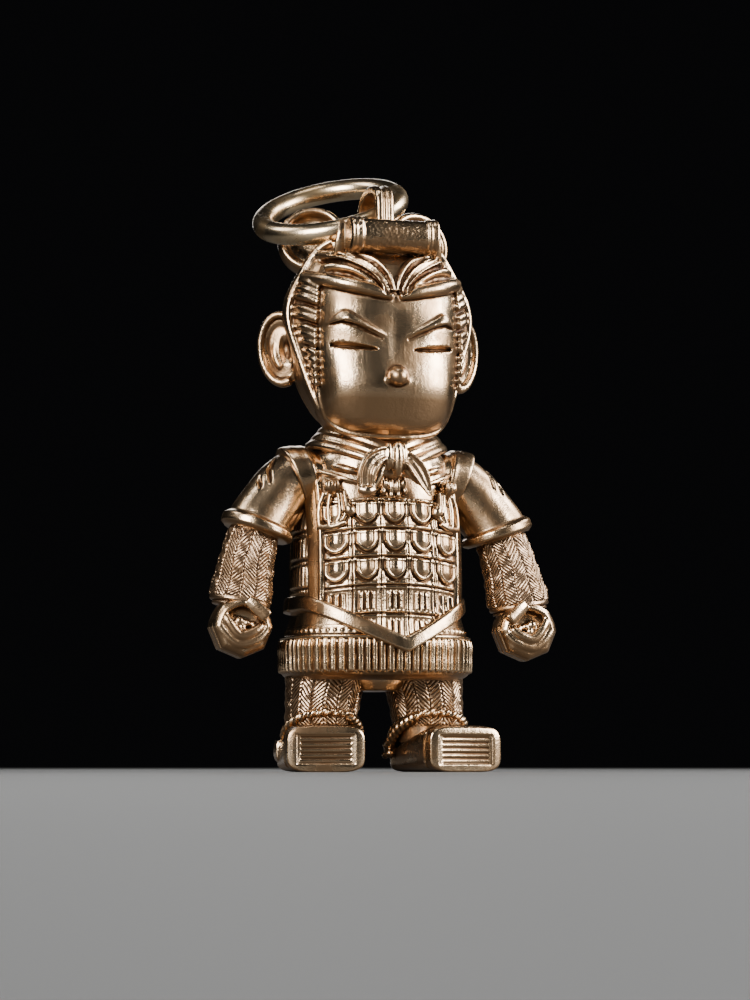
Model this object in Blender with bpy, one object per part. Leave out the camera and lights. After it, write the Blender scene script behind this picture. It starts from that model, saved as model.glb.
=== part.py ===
# A small cast brass warrior figurine, 48 mm from its soles to the top of the bail on its
# cap, with a loose round wire ring hanging in that bail.
# Metres, +Z up. The figure faces -Y and its left hand is at +X. The origin is under the
# middle of the whole, on the surface that the soles stand on.

import math

import bmesh
import bpy
from mathutils import Matrix, Vector

# Driving dimensions of the pieces that fit together.
FIGURE_HEIGHT = 0.048
RING_OUTER_DIAMETER = 0.0132
RING_WIRE_DIAMETER = 0.0018
RING_PLAY = 0.0003
BAIL_STRAP_WIDTH = 0.0015
BAIL_STRAP_THICKNESS = 0.0008
BAIL_HOLE_DEPTH = 0.0052

# The free forms of the carving are counted in shares of the figure's height. One share
# is a forty-eighth of it, which is a millimetre at the real size.
SHARES_IN_HEIGHT = 48
SHARE = FIGURE_HEIGHT / SHARES_IN_HEIGHT

# Proportions of the body, in shares.
HEAD_HALF_WIDTH = 7.35
HEAD_FRONT_DEPTH = 4.9
HEAD_BACK_DEPTH = 6.6
HEAD_MIDDLE_Y = -0.3
HEAD_POWER = 2.3
HAIR_RIDGES = 14
HAIR_RIDGE = 0.45
TEMPLE_RIBS = 10
TEMPLE_LOW_Z = 30.6
TEMPLE_HIGH_Z = 38.8
TEMPLE_RIB = 0.3
LOCKS = 4
CHIN_Z = 27.2
EAR_Z = 34.4
EYE_Z = 33.5
NOSE_Z = 31.5
CAP_BASE_TOP_Z = 43.1
CAP_ROLL_RADIUS = 1.32
CAP_ROLL_LENGTH = 7.3
CAP_ROLL_BAND = 0.65
CURL_RADIUS = 2.95
BAIL_FRONT_Y = -3.35
BAIL_BASE_Z = 42.3
TORSO_POWER = 2.5
PLATE_PITCH_X = 2.25
PLATE_PITCH_Z = 2.25
PLATE_ROWS = 5
PLATE_TOP_Z = 21.55
PLATE_STRAIGHT = 0.95
PLATE_RELIEF = 0.3
FLANK_PLATE_TOP_Z = 20.3
FLANK_PLATE_HEIGHT = 2.0
V_BAND_TIP_Z = 9.85
V_BAND_SLOPE = 0.52
V_BAND_HALF = 0.61
BINDING_X = (5.25, 6.1)
PLEAT_COUNT = 32
PLEAT_DEPTH = 0.4
FIST_X = 11.8
SHOE_SPLAY = math.radians(7)
FLAT_ANGLE = math.radians(5)
FACES_KEPT = 0.88

BRASS_COLOUR = (0.62, 0.41, 0.20, 1)
RING_COLOUR = (0.66, 0.47, 0.25, 1)


def along(stations, t):
    """The values at t on straight lines through stations of (t, value, value, ...)."""
    for start, end in zip(stations, stations[1:]):
        if t <= end[0]:
            break
    share = min(max((t - start[0]) / (end[0] - start[0]), 0), 1)
    return [a + (b - a) * share for a, b in zip(start[1:], end[1:])]


def curve_through(points, steps):
    """Points along a smooth curve through the given ones."""
    points = [Vector(p) for p in points]
    ends = [2 * points[0] - points[1]] + points + [2 * points[-1] - points[-2]]
    path = []
    for index in range(1, len(ends) - 2):
        a, b, c, d = ends[index - 1 : index + 3]
        for step in range(steps):
            t = step / steps
            path.append(
                0.5 * (2 * b + (c - a) * t + (2 * a - 5 * b + 4 * c - d) * t * t)
                + 0.5 * (3 * b - a - 3 * c + d) * t * t * t
            )
    path.append(points[-1])
    return path


def oval(centre, half_x, half_y, power, count, turn=0.0):
    """A level ring of points, round at power 2 and squarer above it."""
    ring = []
    for step in range(count):
        angle = math.tau * (step + 0.5) / count
        c, s = math.cos(angle), math.sin(angle)
        x = half_x * math.copysign(abs(c) ** (2 / power), c)
        y = half_y * math.copysign(abs(s) ** (2 / power), s)
        cos_turn, sin_turn = math.cos(turn), math.sin(turn)
        offset = Vector((x * cos_turn - y * sin_turn, x * sin_turn + y * cos_turn, 0))
        ring.append(Vector(centre) + offset)
    return ring


def across(path, index, side_hint):
    """The direction of a path at a point, and two directions square to it."""
    before, after = path[max(index - 1, 0)], path[min(index + 1, len(path) - 1)]
    ahead = (after - before).normalized()
    side = ahead.cross(side_hint).normalized()
    return ahead, side, side.cross(ahead).normalized()


def skin(bm, sections, hoop=False):
    """Joins sections of points in turn. A bar is capped, and a hoop closes on itself."""
    rows = [[bm.verts.new(point) for point in section] for section in sections]
    pairs = list(zip(rows, rows[1:]))
    if hoop:
        pairs.append((rows[-1], rows[0]))
    else:
        bm.faces.new(rows[0])
        bm.faces.new(rows[-1])
    count = len(rows[0])
    for lower, upper in pairs:
        for k in range(count):
            following = (k + 1) % count
            bm.faces.new((lower[k], lower[following], upper[following], upper[k]))


def tube(bm, path, radii, sides, side_hint, flat=1.0):
    """A bar of round or flattened section along a path, its radius given by station."""
    last = len(path) - 1
    sections = []
    for index, centre in enumerate(path):
        ahead, side, rise = across(path, index, side_hint)
        (radius,) = along(radii, index / last)
        section = []
        for step in range(sides):
            angle = math.tau * (step + 0.5) / sides
            section.append(
                centre
                + side * radius * math.cos(angle)
                + rise * radius * flat * math.sin(angle)
            )
        sections.append(section)
    skin(bm, sections)


def ball(bm, centre, radii, segments, rings, matrix=None):
    """An egg of three half axes, turned by a matrix."""
    place = Matrix.Translation(Vector(centre))
    if matrix is not None:
        place = place @ matrix.to_4x4()
    place = place @ Matrix.Diagonal((*radii, 1))
    bmesh.ops.create_uvsphere(
        bm, u_segments=segments, v_segments=rings, radius=1, matrix=place
    )


def solid(name, build):
    """An object whose closed mesh is drawn by a function."""
    bm = bmesh.new()
    build(bm)
    bmesh.ops.recalc_face_normals(bm, faces=bm.faces)
    mesh = bpy.data.meshes.new(name)
    bm.to_mesh(mesh)
    bm.free()
    made = bpy.data.objects.new(name, mesh)
    bpy.context.collection.objects.link(made)
    return made


def combine(target, tool, operation):
    """Joins a form to the target or cuts it away, and drops the tool."""
    modifier = target.modifiers.new(tool.name, "BOOLEAN")
    modifier.object = tool
    modifier.operation = operation
    modifier.solver = "EXACT"
    modifier.use_self = operation == "UNION"
    graph = bpy.context.evaluated_depsgraph_get()
    mesh = bpy.data.meshes.new_from_object(target.evaluated_get(graph))
    target.modifiers.clear()
    target.data = mesh
    bpy.data.objects.remove(tool)


def fill_pockets(target):
    """Keeps the outer skin alone, so that no pocket is left sealed between forms."""
    bm = bmesh.new()
    bm.from_mesh(target.data)
    unseen = set(bm.faces)
    skins = []
    while unseen:
        patch = [unseen.pop()]
        for face in patch:
            for edge in face.edges:
                for other in edge.link_faces:
                    if other in unseen:
                        unseen.remove(other)
                        patch.append(other)
        skins.append(patch)
    skins.sort(key=len)
    for patch in skins[:-1]:
        bmesh.ops.delete(bm, geom=patch, context="FACES")
    bm.to_mesh(target.data)
    bm.free()


def thin_out(target):
    """Joins neighbours that lie all but flat, and drops the slivers along the joints."""
    bm = bmesh.new()
    bm.from_mesh(target.data)
    bmesh.ops.dissolve_limit(bm, angle_limit=FLAT_ANGLE, verts=bm.verts, edges=bm.edges)
    bmesh.ops.triangulate(bm, faces=bm.faces)
    bm.to_mesh(target.data)
    bm.free()
    modifier = target.modifiers.new("thin_out", "DECIMATE")
    modifier.ratio = FACES_KEPT
    graph = bpy.context.evaluated_depsgraph_get()
    mesh = bpy.data.meshes.new_from_object(target.evaluated_get(graph))
    target.modifiers.clear()
    target.data = mesh


# Head: a broad rounded egg of hair, with a flatter cushion in front for the face. The
# hair's rows give the height and the shares of its width, front depth and back depth.
HEAD_OUTLINE = (
    (CHIN_Z, 0.4, 0.3, 0.45),
    (28.5, 0.62, 0.5, 0.68),
    (30.2, 0.78, 0.7, 0.86),
    (32.6, 0.92, 0.9, 0.97),
    (35.6, 1.0, 1.0, 1.0),
    (38.2, 0.98, 0.97, 0.97),
    (39.9, 0.9, 0.9, 0.88),
    (41.3, 0.72, 0.76, 0.7),
    (42.2, 0.48, 0.56, 0.48),
)
# The face's rows give the height, the half width and the y of the foremost point.
FACE_OUTLINE = (
    (CHIN_Z, 1.9, -4.7),
    (27.7, 4.0, -5.5),
    (28.8, 5.35, -6.05),
    (30.6, 6.0, -6.35),
    (33.4, 6.25, -6.45),
    (36.2, 6.25, -6.35),
    (38.4, 5.95, -6.0),
    (40.2, 5.6, -5.5),
    (41.5, 4.8, -4.7),
    (42.3, 3.6, -3.7),
)
FACE_POWER = 2.7
FACE_MIDDLE_Y = -1.9
FACE_BACK_DEPTH = 2.2
FACE_POINTS = 20


def hair_ring(z, width, front, back):
    """A level ring of the hair, combed into ridges, with its own front and back depth."""
    ring = []
    for step in range(HAIR_RIDGES * 2):
        angle = math.tau * (step + 0.5) / (HAIR_RIDGES * 2)
        c, s = math.cos(angle), math.sin(angle)
        depth = HEAD_FRONT_DEPTH * front if s < 0 else HEAD_BACK_DEPTH * back
        comb = HAIR_RIDGE if step % 2 else 0.0
        half = HEAD_HALF_WIDTH * width - comb
        x = half * math.copysign(abs(c) ** (2 / HEAD_POWER), c)
        y = (depth - comb) * math.copysign(abs(s) ** (2 / HEAD_POWER), s)
        ring.append(Vector((x, HEAD_MIDDLE_Y + y, z)))
    return ring


def head_front(x, z):
    """The y of the face's surface at a place seen from the front."""
    half, front = along(FACE_OUTLINE, z)
    reach = max(1 - abs(x / half) ** FACE_POWER, 0.0)
    return FACE_MIDDLE_Y + (front - FACE_MIDDLE_Y) * reach ** (1 / FACE_POWER)


def draw_hair(bm):
    skin(bm, [hair_ring(*row) for row in HEAD_OUTLINE])


def draw_face_cushion(bm):
    sections = []
    for z, half, front in FACE_OUTLINE:
        ring = []
        for step in range(FACE_POINTS):
            angle = math.tau * (step + 0.5) / FACE_POINTS
            c, s = math.cos(angle), math.sin(angle)
            depth = FACE_MIDDLE_Y - front if s < 0 else FACE_BACK_DEPTH
            x = half * math.copysign(abs(c) ** (2 / FACE_POWER), c)
            y = depth * math.copysign(abs(s) ** (2 / FACE_POWER), s)
            ring.append(Vector((x, FACE_MIDDLE_Y + y, z)))
        sections.append(ring)
    skin(bm, sections)


def draw_face(bm):
    """Nose, and the two slanted brows as ridges with a sharp lower edge."""
    ball(bm, (0, head_front(0, NOSE_Z) - 0.1, NOSE_Z), (0.8, 0.62, 0.7), 8, 6)
    bridge = [Vector((0, head_front(0, z) + 0.03, z)) for z in (31.8, 33.2, 34.6)]
    tube(bm, bridge, ((0, 0.5), (0.5, 0.3), (1, 0.14)), 6, Vector((0, 1, 0)))
    for side in (-1, 1):
        points = ((0.9, 34.5), (2.4, 35.5), (4.0, 36.35), (5.3, 35.8))
        path = [Vector((side * x, head_front(x, z) - 0.02, z)) for x, z in points]
        radii = ((0, 0.16), (0.6, 0.5), (1, 0.16))
        tube(bm, path, radii, 5, Vector((0, 1, 0)), flat=0.8)


def draw_eye_slits(bm):
    for side in (-1, 1):
        xs = (1.5, 3.3, 5.1)
        path = [Vector((side * x, head_front(x, EYE_Z) - 0.1, EYE_Z)) for x in xs]
        tube(bm, path, ((0, 0.06), (0.5, 0.42), (1, 0.06)), 4, Vector((0, 0, 1)), flat=0.7)


# The lowest and the highest lock, from the parting outwards, as x, z and lift.
LOWEST_LOCK = ((0.12, 37.7, 0.05), (1.9, 38.45, 0.2), (3.8, 39.0, 0.2), (5.9, 39.4, 0.15))
HIGHEST_LOCK = ((0.32, 38.8, 0.05), (1.0, 40.05, 0.2), (2.8, 41.1, 0.2), (5.0, 41.8, 0.15))


def draw_locks(bm):
    """Combed locks that part over the forehead and sweep up and out to each side."""
    for side in (-1, 1):
        for lock in range(LOCKS):
            share = lock / (LOCKS - 1)
            path = []
            for low, high in zip(LOWEST_LOCK, HIGHEST_LOCK):
                x, z, lift = (a + (b - a) * share for a, b in zip(low, high))
                path.append(Vector((side * x, head_front(x, z) - lift, z)))
            radii = ((0, 0.3), (0.4, 0.56), (1, 0.5))
            tube(bm, path, radii, 5, Vector((0, 1, 0)), flat=0.9)


def draw_temples(bm):
    """Hair combed back over each temple in short level ribs, in front of the ear."""
    for side in (-1, 1):
        sections = []
        for row in range(TEMPLE_RIBS * 2 + 1):
            share = row / (TEMPLE_RIBS * 2)
            z = TEMPLE_LOW_Z + (TEMPLE_HIGH_Z - TEMPLE_LOW_Z) * share
            proud = 0.05 + TEMPLE_RIB * (row % 2)
            half, _ = along(FACE_OUTLINE, z)
            strap_x, strap_y = along(STRAP_LINE, z)
            front = (half * 0.93, head_front(half * 0.93, z) - proud * 0.7)
            middle = (half * 0.5 + strap_x * 0.5 + proud * 0.6, strap_y - 1.0 - proud)
            back = (strap_x - 0.15 + proud * 0.3, strap_y - 0.1)
            plan = (front, middle, back, (strap_x - 1.6, strap_y + 0.5), (half * 0.6, -3.0))
            sections.append([Vector((side * x, y, z)) for x, y in plan])
        skin(bm, sections)


# The strap's rows give the height, the distance from the middle and the y.
STRAP_LINE = (
    (26.75, 0.0, -2.5),
    (27.0, 2.6, -2.4),
    (28.5, 4.45, -2.2),
    (30.2, 5.5, -1.8),
    (33.2, 6.65, -1.4),
    (36.2, 7.5, -1.1),
    (38.2, 7.35, -1.0),
    (40.2, 6.3, -1.0),
    (41.7, 4.8, -1.4),
    (42.3, 3.6, -2.2),
)


def draw_strap(bm):
    """The narrow band that frames the face and passes under the chin."""
    left = [(-x, y, z) for z, x, y in reversed(STRAP_LINE)]
    right = [(x, y, z) for z, x, y in STRAP_LINE[1:]]
    path = [Vector(point) for point in left + right]
    sections = []
    for index, centre in enumerate(path):
        _, out, _ = across(path, index, Vector((0, 1, 0)))
        deep = Vector((0, 1, 0))
        sections.append(
            [
                centre - out * 0.35 - deep * 0.45,
                centre - out * 0.35 + deep * 0.45,
                centre + out * 1.1 + deep * 0.45,
                centre + out * 1.1 - deep * 0.45,
            ]
        )
    skin(bm, sections)


def ear_frame(side):
    """An ear's own axes: thickness, depth and height, leaning out from the head."""
    out = Matrix.Rotation(math.radians(32 * side), 3, "Z")
    tilt = Matrix.Rotation(math.radians(6 * side), 3, "Y")
    return tilt @ out


def draw_ears(bm):
    for side in (-1, 1):
        ball(bm, (side * 7.6, 1.1, EAR_Z), (2.0, 0.8, 3.05), 11, 7, ear_frame(side))


def draw_ear_hollows(bm):
    for side in (-1, 1):
        middle = (side * 8.05, 0.6, EAR_Z + 0.1)
        ball(bm, middle, (1.25, 0.75, 2.2), 8, 6, ear_frame(side))


# Cap: a low base, a roll across the front, two curls behind and the bail on top.
CAP_BASE = ((40.8, 4.3, 4.9), (42.2, 3.5, 4.4), (CAP_BASE_TOP_Z, 2.1, 3.6))
ROLL_Y = -5.3
ROLL_Z = 43.1
ROLL_MIDDLE_SHARE = 0.86
ROLL_STEP = 0.01
STAY_PLAN = ((3.6, -4.9), (3.6, -3.3), (4.2, -3.3), (4.2, -4.9))
STAY_HEIGHTS = (41.4, 44.0)
CURL_MIDDLE = (4.25, 3.8, 43.7)
CURL_SIDES = 14


def draw_cap(bm):
    skin(bm, [oval((0, -0.1, z), x, y, 2.4, 12) for z, x, y in CAP_BASE])
    half = CAP_ROLL_LENGTH / 2
    inner = half - CAP_ROLL_BAND
    stations = ((-half, 1.0), (-inner, 1.0), (-inner + ROLL_STEP, ROLL_MIDDLE_SHARE))
    stations += ((inner - ROLL_STEP, ROLL_MIDDLE_SHARE), (inner, 1.0), (half, 1.0))
    sections = []
    for x, share in stations:
        section = []
        for step in range(12):
            angle = math.tau * (step + 0.5) / 12
            radius = CAP_ROLL_RADIUS * share
            y, z = radius * math.cos(angle), radius * math.sin(angle)
            section.append(Vector((x, ROLL_Y + y, ROLL_Z + z)))
        sections.append(section)
    skin(bm, sections)
    for side in (-1, 1):
        skin(bm, [[Vector((side * x, y, z)) for x, y in STAY_PLAN] for z in STAY_HEIGHTS])


def curl_axis(side):
    """The way a curl faces: forward, a little outward and up."""
    return Vector((side * 0.28, -0.93, 0.2)).normalized()


CURL_PROFILE = ((-1.1, 0.62), (-0.5, 0.94), (0.7, 1.0), (1.15, 0.88), (0.75, 0.74), (0.6, 0.4))


def draw_curls(bm):
    """Two dished discs with rolled rims, standing at the back of the cap."""
    for side in (-1, 1):
        x, y, z = CURL_MIDDLE
        middle = Vector((side * x, y, z))
        axis = curl_axis(side)
        level = axis.cross(Vector((0, 0, 1))).normalized()
        rise = level.cross(axis)
        sections = []
        for depth, share in CURL_PROFILE:
            ring = []
            for step in range(CURL_SIDES):
                angle = math.tau * step / CURL_SIDES
                ray = level * math.cos(angle) + rise * math.sin(angle)
                ring.append(middle + ray * share * CURL_RADIUS + axis * depth)
            sections.append(ring)
        skin(bm, sections)


# The bail's middle line, as shares of its span from front to back and of its height.
BAIL_LINE = (
    (-0.01, 0.0),
    (0.0, 0.5),
    (0.07, 0.88),
    (0.45, 1.0),
    (0.86, 0.88),
    (0.97, 0.5),
    (1.03, 0.0),
)


def bail_point(depth, height):
    """A place on the bail's middle line."""
    thick = BAIL_STRAP_THICKNESS / SHARE
    span = BAIL_HOLE_DEPTH / SHARE + thick
    top = SHARES_IN_HEIGHT - thick / 2
    y = BAIL_FRONT_Y + thick / 2 + depth * span
    return Vector((0, y, BAIL_BASE_Z + height * (top - BAIL_BASE_Z)))


def draw_bail(bm):
    path = curve_through([bail_point(*place) for place in BAIL_LINE], 2)
    thick = BAIL_STRAP_THICKNESS / SHARE / 2
    wide = BAIL_STRAP_WIDTH / SHARE / 2
    sections = []
    for index, centre in enumerate(path):
        _, out, _ = across(path, index, Vector((1, 0, 0)))
        level = Vector((1, 0, 0))
        sections.append(
            [
                centre + level * wide + out * thick,
                centre - level * wide + out * thick,
                centre - level * wide - out * thick,
                centre + level * wide - out * thick,
            ]
        )
    skin(bm, sections)


# Torso: an armoured trunk, squarish in plan, that flares to a hem over a pleated skirt.
TORSO_OUTLINE = (
    (10.0, 7.35, 6.1),
    (12.9, 6.75, 5.9),
    (16.0, 6.6, 6.0),
    (19.0, 6.5, 5.85),
    (22.0, 6.15, 5.35),
    (24.2, 5.7, 4.7),
    (25.6, 4.7, 3.9),
    (26.6, 3.2, 2.9),
)
HEM_Z = 10.4
HEM_HALF_WIDTH = 7.8
HEM_HALF_DEPTH = 6.45
PLEAT_TOP_Z = 10.1
PLEAT_BOTTOM_Z = 7.9
SKIRT_BOTTOM_Z = 7.35


def torso_point(x, z, lift, back=1.0):
    """A place on the armour's front, or on its back where back is -1, lifted off it."""
    half_x, half_y = along(TORSO_OUTLINE, z)
    x = max(min(x, half_x * 0.995), -half_x * 0.995)
    y = half_y * (1 - abs(x / half_x) ** TORSO_POWER) ** (1 / TORSO_POWER)
    slope_x = math.copysign(abs(x / half_x) ** (TORSO_POWER - 1), x) / half_x
    slope_y = (y / half_y) ** (TORSO_POWER - 1) / half_y
    length = math.hypot(slope_x, slope_y)
    x += lift * slope_x / length
    y += lift * slope_y / length
    return Vector((x, -back * y, z))


def torso_angle_point(angle, z, lift):
    """A place on the armour at an angle around it, lifted off it."""
    half_x, half_y = along(TORSO_OUTLINE, z)
    c, s = math.cos(angle), math.sin(angle)
    x = (half_x + lift) * math.copysign(abs(c) ** (2 / TORSO_POWER), c)
    y = (half_y + lift) * math.copysign(abs(s) ** (2 / TORSO_POWER), s)
    return Vector((x, y, z))


def draw_torso(bm):
    rings = [oval((0, 0, z), hx, hy, TORSO_POWER, 20) for z, hx, hy in TORSO_OUTLINE]
    skin(bm, rings)


def draw_plates(bm):
    """Rows of scale plates, each with a round lobe, on the front and the back."""
    half = PLATE_PITCH_X * 0.44
    for back, lobe_points in ((1, 4), (-1, 3)):
        for row in range(PLATE_ROWS):
            for column in range(-2, 3):
                middle = PLATE_PITCH_X * column
                top = PLATE_TOP_Z - PLATE_PITCH_Z * row - 0.05 * column * column
                straight = top - PLATE_STRAIGHT
                if straight - half < v_band_z(middle) + V_BAND_HALF:
                    continue
                outline = [(-half, top), (half, top)]
                for step in range(lobe_points):
                    angle = math.pi * step / (lobe_points - 1)
                    outline.append((half * math.cos(angle), straight - half * math.sin(angle)))
                skin(
                    bm,
                    [
                        [torso_point(middle + x, z, lift, back) for x, z in outline]
                        for lift in (-0.4, PLATE_RELIEF)
                    ],
                )


def draw_flank_plates(bm):
    """Ribbed plates in rows on both flanks, under the arms."""
    for side in (0, math.pi):
        for row in range(3):
            top = FLANK_PLATE_TOP_Z - PLATE_PITCH_Z * row
            low = top - FLANK_PLATE_HEIGHT
            for column in (-1, 0, 1):
                middle = side + 0.36 * column
                sections = []
                for lift in (-0.4, PLATE_RELIEF):
                    corners = ((-0.15, low), (0.15, low), (0.15, top), (-0.15, top))
                    sections.append(
                        [torso_angle_point(middle + a, z, lift) for a, z in corners]
                    )
                skin(bm, sections)


def v_band_z(x):
    """The height of the middle of the band that runs in a V over the belly."""
    return V_BAND_TIP_Z + V_BAND_SLOPE * abs(x)


def draw_bands(bm):
    """The V shaped band, and the upright bindings at the edges of the plates."""
    steps = 5
    sections = []
    for step in range(-steps, steps + 1):
        x = BINDING_X[1] * step / steps
        low, high = v_band_z(x) - V_BAND_HALF, v_band_z(x) + V_BAND_HALF
        sections.append(
            [
                torso_point(x, low, -0.3),
                torso_point(x, low, 0.62),
                torso_point(x, high, 0.5),
                torso_point(x, high, -0.3),
            ]
        )
    skin(bm, sections)
    inner, outer = BINDING_X
    for back in (1, -1):
        for side in (-1, 1):
            sections = []
            for z in (12.6, 15.0, 17.5, 20.0, 22.4, 24.6):
                sections.append(
                    [
                        torso_point(side * inner, z, -0.3, back),
                        torso_point(side * inner, z, 0.45, back),
                        torso_point(side * outer, z, 0.45, back),
                        torso_point(side * outer, z, -0.3, back),
                    ]
                )
            skin(bm, sections)


def draw_skirts(bm):
    """The flared hem of the armour, the ring of pleats and the skirt's lower lip."""
    rows = ((SKIRT_BOTTOM_Z, -0.5, 0.0), (PLEAT_BOTTOM_Z, -0.35, 0.0))
    rows += ((PLEAT_BOTTOM_Z + 0.1, -0.3, PLEAT_DEPTH), (PLEAT_TOP_Z, -0.3, PLEAT_DEPTH))
    rows += ((HEM_Z - 0.2, 0.0, 0.0), (HEM_Z + 0.45, -0.1, 0.0), (HEM_Z + 0.55, -1.6, 0.0))
    sections = []
    for z, grow, pleat in rows:
        ring = []
        for step in range(PLEAT_COUNT * 2):
            angle = math.tau * (step + 0.5) / (PLEAT_COUNT * 2)
            c, s = math.cos(angle), math.sin(angle)
            inset = pleat * (step % 2) - grow
            x = (HEM_HALF_WIDTH - inset) * math.copysign(abs(c) ** 0.8, c)
            y = (HEM_HALF_DEPTH - inset) * math.copysign(abs(s) ** 0.8, s)
            ring.append(Vector((x, y, z)))
        sections.append(ring)
    skin(bm, sections)


def draw_collar(bm):
    """Folds of a scarf round the neck, each crossing a little lower in front."""
    folds = ((24.6, 5.1, 4.75, 0.75), (25.7, 4.9, 4.5, 0.72), (26.7, 4.4, 4.0, 0.7))
    for index, (z, half_x, half_y, radius) in enumerate(folds):
        sections = []
        for step in range(16):
            angle = math.tau * (step + 0.5) / 16
            c, s = math.cos(angle), math.sin(angle)
            dip = 0.75 * max(-s, 0) ** 3
            middle = Vector((half_x * c, half_y * s - 0.2, z - dip))
            ray = Vector((c, s, 0))
            sections.append(
                [
                    middle + ray * radius * math.cos(a) + Vector((0, 0, radius * math.sin(a)))
                    for a in (math.tau * (k + 0.5) / 5 for k in range(5))
                ]
            )
        skin(bm, sections, hoop=True)
    skin(bm, [oval((0, -0.2, z), r, r * 0.92, 2, 14) for z, r in ((24.0, 4.6), (28.9, 3.9))])


def draw_bow(bm):
    """The scarf's knot with two loops, and a ribbon knot on each side of the chest."""
    ball(bm, (0, -5.35, 24.3), (0.85, 0.8, 1.15), 8, 5)
    for side in (-1, 1):
        loop = [(0.3 * side, -5.5, 24.2), (1.5 * side, -6.15, 23.6), (2.5 * side, -6.0, 22.3)]
        loop += [(3.0 * side, -5.75, 21.4)]
        tube(
            bm,
            curve_through(loop, 2),
            ((0, 0.35), (0.6, 0.72), (1, 0.4)),
            6,
            Vector((0, 1, 0)),
        )
        knot_x = 4.0 * side
        knot = torso_point(knot_x, 22.2, 0.45)
        ball(bm, knot, (0.8, 0.55, 0.75), 7, 5)
        for tail_x, drop in ((-0.75, 2.7), (0.75, 2.5)):
            stations = []
            for share in (0.0, 0.5, 1.0):
                x = knot_x + tail_x * (0.3 + 0.7 * share)
                stations.append(torso_point(x, 22.0 - drop * share, 0.42))
            tube(bm, stations, ((0, 0.25), (0.7, 0.42), (1, 0.3)), 5, Vector((0, 1, 0)))


# The arm from shoulder to wrist: middle, half width, half depth and slant in degrees.
ARM_LINE = (
    ((4.2, 0.0, 23.6), 1.7, 2.2, 84),
    ((6.2, -0.1, 23.95), 2.25, 2.4, 70),
    ((7.7, -0.3, 22.85), 2.45, 2.5, 50),
    ((8.9, -0.6, 21.4), 2.5, 2.5, 34),
    ((9.85, -0.9, 20.2), 2.55, 2.5, 22),
    ((10.0, -0.95, 20.0), 2.95, 2.8, 19),
    ((10.25, -1.0, 19.25), 3.0, 2.85, 18),
    ((10.35, -1.0, 18.95), 2.1, 2.0, 17),
    ((11.15, -1.5, 16.2), 2.1, 2.05, 14),
    ((11.65, -1.8, 14.3), 2.3, 2.2, 12),
    ((11.8, -1.95, 12.8), 1.9, 1.9, 12),
)
ARM_SIDES = 12


def draw_arm(bm, side):
    """A short wide sleeve with a turned cuff over a narrower forearm."""
    sections = []
    for (x, y, z), wide, deep, slant in ARM_LINE:
        drop = math.radians(slant)
        section = []
        for point in oval((0, 0, 0), wide, deep, 2.0, ARM_SIDES, turn=0.25):
            reach = x + point.x * math.cos(drop)
            section.append(Vector((side * reach, y + point.y, z + point.x * math.sin(drop))))
        sections.append(section)
    skin(bm, sections)


def draw_fist(bm, side):
    """A closed hand turned to the front, its fingers curled round an empty grip."""
    middle = Vector((side * FIST_X, -2.3, 11.35))
    sections = []
    for y, radius in ((2.0, 1.5), (1.4, 2.2), (-0.6, 2.45), (-1.5, 2.2), (-1.95, 1.6)):
        section = []
        for step in range(14):
            angle = math.tau * (step + 0.5) / 14
            wave = 0.14 * math.cos(angle * 7)
            x = (radius + wave) * 1.06 * math.cos(angle)
            z = (radius + wave) * 0.95 * math.sin(angle)
            section.append(middle + Vector((x, y, z)))
        sections.append(section)
    skin(bm, sections)
    thumb = [(-1.9, -0.8, 1.6), (-2.15, -1.5, 0.5), (-1.35, -1.95, -0.6), (-0.3, -1.95, -1.1)]
    path = curve_through([middle + Vector((side * x, y, z)) for x, y, z in thumb], 2)
    tube(bm, path, ((0, 0.55), (0.6, 0.6), (1, 0.4)), 6, Vector((0, 1, 0)))


def draw_grips(bm):
    for side in (-1, 1):
        middle = Vector((side * (FIST_X + 0.15), -2.3, 11.55))
        sections = []
        for y, radius in ((-3.0, 1.2), (-0.9, 0.75)):
            sections.append(
                [
                    middle
                    + Vector(
                        (
                            radius * math.cos(math.tau * k / 8),
                            y,
                            radius * math.sin(math.tau * k / 8),
                        )
                    )
                    for k in range(8)
                ]
            )
        skin(bm, sections)


def draw_leg(bm, side):
    """A trouser leg, tied at the ankle, over a square-toed shoe turned outwards."""
    stations = ((2.4, 4.55, 2.5), (3.65, 4.5, 2.65), (3.85, 4.5, 3.05), (4.4, 4.5, 3.05))
    stations += ((4.6, 4.45, 2.7), (5.8, 4.3, 2.9), (6.8, 4.1, 3.05), (8.6, 4.0, 3.15))
    skin(bm, [oval((side * x, 0.2, z), r, r, 2.3, 12) for z, x, r in stations])
    turn = Matrix.Rotation(side * SHOE_SPLAY, 3, "Z")
    heel = Vector((side * 4.55, 3.2, 0))
    stations = ((0.0, 2.3, 2.1), (0.5, 2.75, 2.3), (2.2, 2.9, 2.4), (4.6, 3.0, 2.9))
    stations += ((7.6, 3.1, 3.5), (9.2, 3.1, 3.62), (9.75, 3.0, 3.5))
    sections = []
    for back, half, high in stations:
        corner = 0.6
        outline = ((-half + 0.25, 0.0), (half - 0.25, 0.0), (half, 0.3), (half, high - corner))
        outline += ((half - corner, high), (-half + corner, high), (-half, high - corner))
        outline += ((-half, 0.3),)
        sections.append([heel + turn @ Vector((x, -back, z)) for x, z in outline])
    skin(bm, sections)
    tab = [(-1.0, 2.7), (1.0, 2.7), (1.0, 1.0), (-1.0, 1.0)]
    sections = []
    for x in (-0.2, 0.45):
        sections.append(
            [heel + turn @ Vector((side * (2.75 + x), -1.9 + y, z)) for y, z in tab]
        )
    skin(bm, sections)


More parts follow.
